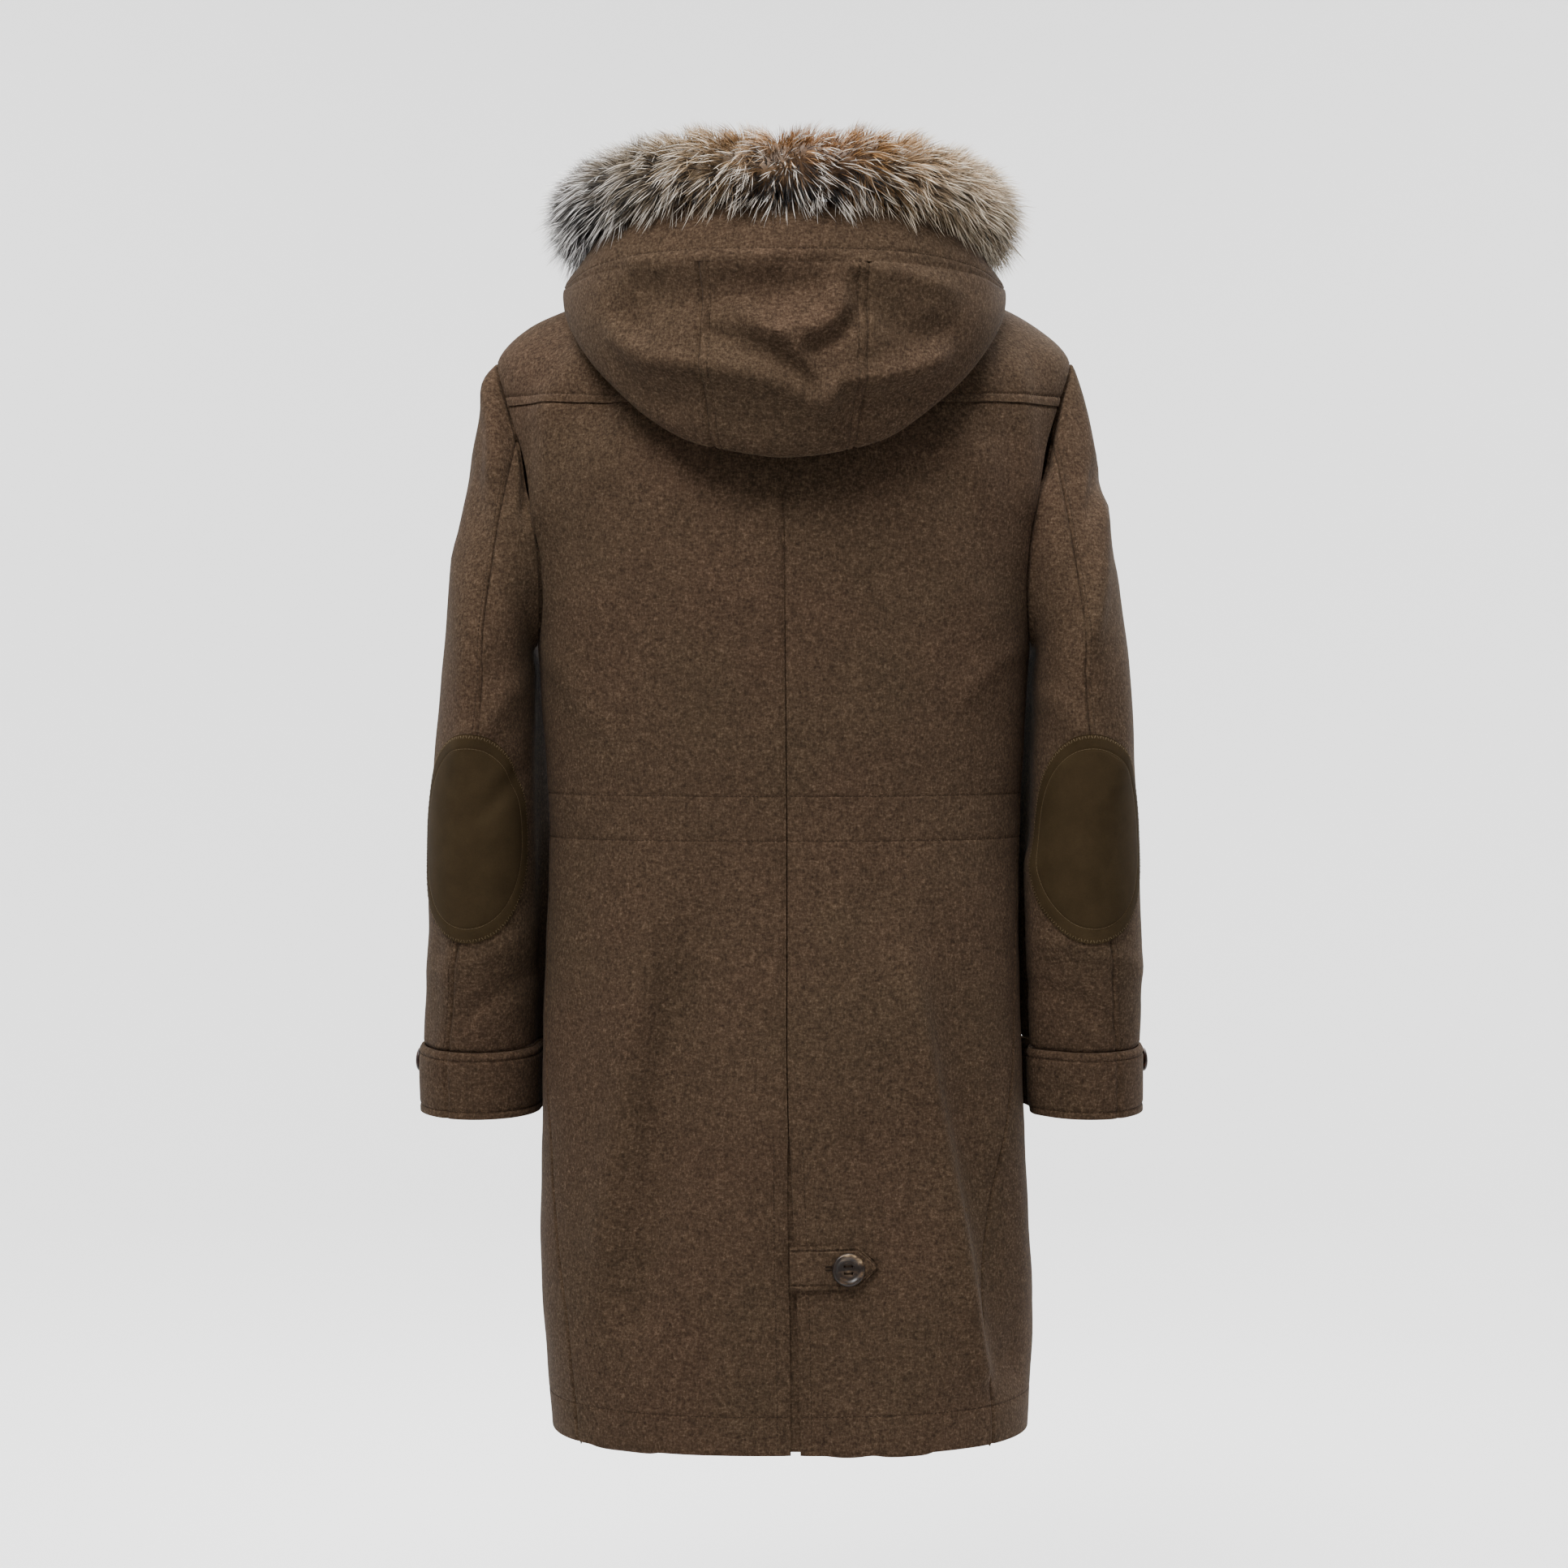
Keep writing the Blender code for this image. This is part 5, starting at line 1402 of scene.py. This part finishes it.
def pocket_face(box, side, lift):
    width = box["outer"] - box["inner"]

    def face(a, b):
        z = box["top"] + (box["bottom"] - box["top"]) * b
        near = np.clip((box["bottom"] + box["corner"] - z) / box["corner"], 0, 1)
        inset = box["corner"] * (1 - np.sqrt(np.clip(1 - near ** 2, 0, 1))) * CORNER_PART
        x = box["inner"] + inset + (width - 2 * inset) * a
        angle, run = place_at(x, z)
        base = body_point(-angle, run, side)
        normal = outward(lambda t, r: body_point(t, r, side), -angle, run, side)
        near_edge = np.minimum(np.minimum(a, 1 - a) * width, (1 - b) * 0.17)
        puff = PUFF * (1 - np.exp(-np.clip(near_edge, 0, 1) / PUFF_EDGE))
        return base + normal * (body_relief(base) + lift + puff)[..., None]
    return face


def make_pockets():
    for side, word in SIDES:
        for box, node, cut, lift, count in (
                (POCKET, "pocket", "pocket", POCKET_LIFT + CLOTH, 40),
                (FLAP, "pocket_flap", "flap", POCKET_LIFT + OVERLAY_LIFT + CLOTH * 2, 26)):
            face = pocket_face(box, side, lift)
            high = box["top"] - box["bottom"]
            corner = box["corner"] / high
            turns = [1 - corner * (1 - sin(radians(t))) for t in CORNER_TURNS]
            along = steps(count, 0.0, 1 - corner) + turns
            across = sampled(0.0, 1.0, POCKET_COLUMNS, [], "a")
            piece = shell(f"shell_{node}_{word}", face, across, along, side, WOOL,
                          thick=OVERLAY_CLOTH)
            dressed_piece(f"{node}_{word}")
            row = EDGE_ROW / (box["outer"] - box["inner"])
            low = 1 - EDGE_ROW / high
            sew(face, (row, row), (0.02, 1 - corner), side)
            sew(face, (1 - row, 1 - row), (0.02, 1 - corner), side)
            sew(face, (corner, 1 - corner), (low, low), side)


TAB_ROW = 0.78              # the tab's groove, as a share of its half width
TAB_GROOVE_WIDTH = 0.055
TAB_GRID = (40, 20)
TAB_TAPER = 0.94            # how much of its width the tab loses at its point


def tab_face(a, b):
    length = TAB["point"] - TAB["start"]
    shoulder = (TAB["shoulder"] - TAB["start"]) / length
    taper = np.clip((a - shoulder) / (1 - shoulder), 0, 1)
    x = TAB["start"] + length * a
    z = TAB["middle"] + TAB["half"] * b * (1 - taper * TAB_TAPER)
    angle, run = place_at(x, z)
    base = body_point(angle, run, -1)
    puff = PUFF * (1 - np.abs(b) ** 4) * np.clip((1 - a) / 0.12, 0, 1)
    puff -= STITCH_DEPTH * np.exp(-((np.abs(b) - TAB_ROW) / TAB_GROOVE_WIDTH) ** 2)
    base[..., 1] += TAB_LIFT + CLOTH * 0.7 + puff
    return base


def make_vent_tab():
    across = sorted(steps(TAB_GRID[0]) + [0.76])
    rows = [sign * at for sign in (-1, 1) for at in (0.70, 0.74, 0.78, 0.82, 0.86)]
    along = sorted(steps(TAB_GRID[1], -1.0, 1.0) + rows)
    piece = shell("shell_vent_tab", tab_face, across, along, 1, WOOL, thick=OVERLAY_CLOTH)
    dressed_piece("vent_tab")
    for path in (((0.03, 0.72), (-0.80, -0.80)), ((0.03, 0.72), (0.80, 0.80)),
                 ((0.72, 0.955), (-0.80, -0.35)), ((0.72, 0.955), (0.80, 0.35))):
        sew(tab_face, *path, 1)


# ---- Buttons ----------------------------------------------------------------------------
# Half a button's section, outwards from its middle: shares of its radius and thickness.
BUTTON_SECTION = ((0.0, 0.52), (0.30, 0.50), (0.52, 0.52), (0.62, 0.60), (0.70, 0.78),
                  (0.78, 0.95), (0.86, 1.00), (0.93, 0.92), (0.98, 0.70), (1.00, 0.46),
                  (0.97, 0.22), (0.88, 0.04), (0.60, 0.0), (0.0, 0.0))
BUTTON_TURNS = 56
BUTTON_CREASE = radians(45)     # edges sharper than this stay crisp
MERGE_DISTANCE = 0.00002
HOLE_PLACE = 0.21           # the holes, as shares of the button's radius
HOLE_SIZE = 0.085
HOLE_SIDES = 14
THREAD_SPREAD = 0.035       # between the threads of one pair of holes
BUTTON_THREAD = dict(length=0.00675, radius=0.00035)
HOLE_THREAD = dict(length=0.0024, radius=0.00042)


def node_frame(node, outward_hint):
    """Middle, outward axis, radius and thickness of a button's solid."""
    points = np.array([v.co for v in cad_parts[node].data.vertices])
    middle = (points.min(axis=0) + points.max(axis=0)) / 2
    axes = np.linalg.eigh(np.cov((points - middle).T))[1]
    axis = axes[:, 0] * (1 if axes[:, 0] @ np.array(outward_hint) > 0 else -1)
    along = (points - middle) @ axis
    middle = middle + axis * (along.max() + along.min()) / 2
    radius = np.linalg.norm(points - middle - np.outer((points - middle) @ axis, axis),
                            axis=1).max()
    return middle, Vector(axis), radius, along.max() - along.min()


def make_button(node, hint, look):
    """A turned horn button, dished, with a rounded rim and four drilled holes."""
    middle, axis, radius, high = node_frame(node, hint)
    points = [(share * radius, 0, (z - 0.5) * high) for share, z in BUTTON_SECTION]
    mesh = bpy.data.meshes.new(node + "_turned")
    mesh.from_pydata(points, [(i, i + 1) for i in range(len(points) - 1)], [])
    turned = placed(node + "_turned", mesh)
    screw = turned.modifiers.new("turn", "SCREW")
    screw.steps = screw.render_steps = BUTTON_TURNS
    screw.use_merge_vertices = True
    screw.merge_threshold = MERGE_DISTANCE
    screw.use_normal_calculate = True
    drills = drill_pins(radius, high)
    cut = turned.modifiers.new("holes", "BOOLEAN")
    cut.object = drills
    bpy.context.view_layer.update()
    graph = bpy.context.evaluated_depsgraph_get()
    made = bpy.data.meshes.new_from_object(turned.evaluated_get(graph))
    bpy.data.objects.remove(turned)
    bpy.data.objects.remove(drills)
    made.materials.clear()
    made.materials.append(look)
    made.shade_smooth()
    made.set_sharp_from_angle(angle=BUTTON_CREASE)
    piece = placed("horn_" + node, made)
    turn = axis.to_track_quat("Z", "Y")
    piece.rotation_mode = "QUATERNION"
    piece.rotation_quaternion = turn
    piece.location = middle
    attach(piece, "root")
    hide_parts(node)
    BUTTON_THREADS.append((np.array(middle), turn, radius, high))


def drill_pins(radius, high):
    """Four round pins, to cut the holes with."""
    points, faces = [], []
    for x, y in ((1, 1), (1, -1), (-1, -1), (-1, 1)):
        start = len(points)
        for z in (-high, high):
            for k in range(HOLE_SIDES):
                t = 2 * pi * k / HOLE_SIDES
                points.append((x * radius * HOLE_PLACE + cos(t) * radius * HOLE_SIZE,
                               y * radius * HOLE_PLACE + sin(t) * radius * HOLE_SIZE, z))
        low = [start + k for k in range(HOLE_SIDES)]
        top = [k + HOLE_SIDES for k in low]
        for k in range(HOLE_SIDES):
            j = (k + 1) % HOLE_SIDES
            faces.append((low[k], low[j], top[j], top[k]))
        faces += [tuple(low[::-1]), tuple(top)]
    mesh = bpy.data.meshes.new("drill")
    mesh.from_pydata(points, [], faces)
    return placed("drill", mesh)


def make_buttons():
    make_button("vent_button", (0, 1, 0), HORN)
    for side, word in SIDES:
        make_button(f"cuff_button_{word}", (side, 0, 0), RED_HORN)
    for number in range(1, FRONT_BUTTONS + 1):
        make_button(f"front_button_{number}", (0, -1, 0), HORN)
    threads = []
    for middle, turn, radius, high in BUTTON_THREADS:
        ahead, normal = (np.array([turn @ Vector(v)]) for v in ((1, 0, 0), (0, 0, 1)))
        for sign in (-1, 1):
            for offset in (-THREAD_SPREAD, 0.0, THREAD_SPREAD):
                place = Vector((0, radius * (HOLE_PLACE * sign + offset), high * 0.02))
                threads.append((np.array([middle + np.array(turn @ place)]), ahead, normal))
    stitch_mesh("button_threads", threads, THREAD, **BUTTON_THREAD)


def make_buttonhole():
    """The worked hole in the tab: a bound slit of close stitches beside the button."""
    threads = []
    count = 16
    ahead, normal = np.array([[0.0, 0.0, 1.0]]), np.array([[0.0, 1.0, 0.0]])
    for k in range(count):
        for sign in (-1, 1):
            middle = tab_face(np.array([0.41 + 0.16 * k / (count - 1)]),
                              np.array([sign * 0.075]))
            threads.append((middle, ahead, normal))
    stitch_mesh("buttonhole", threads, THREAD, **HOLE_THREAD)


# ---- Stitches ---------------------------------------------------------------------------
STITCH_PITCH = 0.0034
TOP_THREAD = dict(length=0.0026, radius=0.00030)
BLANKET_THREAD = dict(length=0.0030, radius=0.00034)
BLANKET_SHARE = 0.975       # the blanket stitch, as a share of the way out
BLANKET_PITCH = 0.0026
BLANKET_SLANT = 0.45
PATCH_ROW_PITCH = 0.0030


def evenly(path, places, pitch):
    """Places at equal steps along a path, one to each stitch."""
    length = np.concatenate([[0], np.cumsum(np.linalg.norm(np.diff(path, axis=0), axis=1))])
    count = max(int(length[-1] / pitch), 1)
    return np.interp((np.arange(count) + 0.5) * length[-1] / count, length, places)


def row_points(face, across, along, facing):
    """Points, directions and normals at equal steps along a row of stitches."""
    wide, high = across[1] - across[0], along[1] - along[0]
    t = np.linspace(0, 1, 400)
    at = evenly(face(across[0] + wide * t, along[0] + high * t), t, STITCH_PITCH)
    a = across[0] + wide * at
    b = along[0] + high * at
    middle = face(a, b)
    ahead = face(a + wide * 1e-3, b + high * 1e-3)
    return middle, unit(ahead - middle), outward(face, a, b, facing)


def ring_points(face, share, facing, pitch, slant=0.0):
    """The same round a patch: in line with its edge, or across it with a slant."""
    t = np.linspace(0, 2 * pi, 1200)
    at = evenly(face(np.full_like(t, share), t), t, pitch)
    a = np.full_like(at, share)
    middle = face(a, at)
    normal = outward(face, a, at, facing)
    ahead = unit(face(a, at + 1e-3) - middle)
    if slant:
        swing = np.where(np.arange(len(at)) % 2 == 0, slant, -slant)[:, None]
        ahead = unit(np.cross(ahead, normal) + ahead * swing)
    return middle, ahead, normal


def stitch_mesh(name, stitches, look, length, radius):
    """One mesh of many short threads, each a bead that dives in at both ends."""
    points, faces = [], []
    for middle, ahead, normal in stitches:
        aside = np.cross(ahead, normal)
        for m, u, n, s in zip(middle, ahead, normal, aside):
            start = len(points)
            points.append(m - u * length / 2 - n * radius * 0.8)
            for place in (-0.28, 0.28):
                for up, out in ((1.25, 0), (0.2, 1), (-0.8, 0), (0.2, -1)):
                    points.append(m + u * length * place + n * radius * up
                                  + s * radius * out)
            points.append(m + u * length / 2 - n * radius * 0.8)
            for k in range(4):
                j = (k + 1) % 4
                faces.append((start, start + 1 + j, start + 1 + k))
                faces.append((start + 1 + k, start + 1 + j, start + 5 + j, start + 5 + k))
                faces.append((start + 9, start + 5 + k, start + 5 + j))
    piece = mesh_piece(name, [tuple(p) for p in points], faces, look)


def make_stitches():
    rows = [row_points(*row) for row in STITCH_ROWS]
    stitch_mesh("topstitching", rows, THREAD, **TOP_THREAD)
    blanket = []
    for face, facing in PATCH_FACES:
        blanket.append(ring_points(face, PATCH_ROW, facing, PATCH_ROW_PITCH))
        blanket.append(ring_points(face, BLANKET_SHARE, facing, BLANKET_PITCH,
                                   BLANKET_SLANT))
    stitch_mesh("patch_stitching", blanket, PATCH_THREAD, **BLANKET_THREAD)


# ---- The whole garment ------------------------------------------------------------------
make_back_panels()
make_underlap()
make_yoke()
make_fronts()
make_sleeves()
make_hood()
make_fur()
make_pockets()
make_vent_tab()
make_buttons()
make_buttonhole()
make_stitches()


# ---- Floor, light and camera ------------------------------------------------------------
CAMERA_PLACE = (0.0, 3.0, -0.336)
CAMERA_TARGET = (0.0, 0.0, -0.429)
PHOTO_SIDE = 1932
FOCAL_PIXELS = 4375
SENSOR = 36.0
FLOOR = -1.25
STAGE_RADIUS = 4.4
STAGE_BEND = 1.3
STAGE_HEIGHT = 3.6
STAGE_SPOKES = 72
PAPER = 0.82
SKY = 0.25


def aimed(name, data, place, target):
    """A camera or light at a place, turned to a target."""
    thing = placed(name, data)
    thing.location = place
    thing.rotation_mode = "QUATERNION"
    thing.rotation_quaternion = (Vector(target) - Vector(place)).to_track_quat("-Z", "Y")
    return thing


def make_camera():
    data = bpy.data.cameras.new("camera")
    data.sensor_width = SENSOR
    data.lens = FOCAL_PIXELS / PHOTO_SIDE * SENSOR
    bpy.context.scene.camera = aimed("camera", data, CAMERA_PLACE, CAMERA_TARGET)


def make_light(name, place, target, size, power, spread):
    data = bpy.data.lights.new(name, "AREA")
    data.shape = "RECTANGLE"
    data.size, data.size_y = size
    data.energy = power
    data.spread = radians(spread)
    aimed(name, data, place, target)


def make_studio():
    """A pale round floor that bends up into a wall all round, far from the garment."""
    look = Look("studio_paper")
    look.surface({"Base Color": (PAPER, PAPER, PAPER, 1), "Roughness": 0.9,
                  "Specular IOR Level": 0.0})
    flat = STAGE_RADIUS - STAGE_BEND
    profile = [(r, 0.0) for r in (0.02, flat * 0.5, flat)]
    profile += [(flat + STAGE_BEND * sin(t), STAGE_BEND * (1 - cos(t)))
                for t in steps(12, pi / 24, pi / 2)]
    profile.append((STAGE_RADIUS, STAGE_HEIGHT))
    turn = np.linspace(0, 2 * pi, STAGE_SPOKES, endpoint=False)
    points = [(r * cos(t), r * sin(t), FLOOR + z) for r, z in profile for t in turn]
    faces = grid_faces(len(profile), STAGE_SPOKES, True).tolist()
    faces.append(list(range(STAGE_SPOKES)))
    mesh = bpy.data.meshes.new("floor")
    mesh.from_pydata(points, [], faces)
    mesh.shade_smooth()
    mesh.materials.append(look.material)
    placed("floor", mesh)


def make_world():
    world = bpy.data.worlds.new("studio")
    bpy.context.scene.world = world
    world.use_nodes = True
    background = world.node_tree.nodes["Background"]
    background.inputs["Color"].default_value = (1.0, 1.0, 1.0, 1)
    background.inputs["Strength"].default_value = SKY


make_camera()
make_studio()
make_world()
make_light("key", (0.50, 1.25, 1.42), (0, 0.1, -0.05), (1.2, 1.0), 22, 80)
make_light("top", (-0.40, 0.28, 1.60), (0, 0.1, 0), (1.1, 0.7), 13, 80)
make_light("front", (-0.8, -2.0, 1.5), (0, 0, -0.3), (1.6, 1.2), 26, 90)
make_light("backdrop_left", (1.9, -1.0, 2.0), (1.2, -3.2, -1.1), (1.6, 1.0), 150, 150)
make_light("backdrop_right", (-1.9, -1.0, 2.0), (-1.2, -3.2, -1.1), (1.6, 1.0), 150, 150)
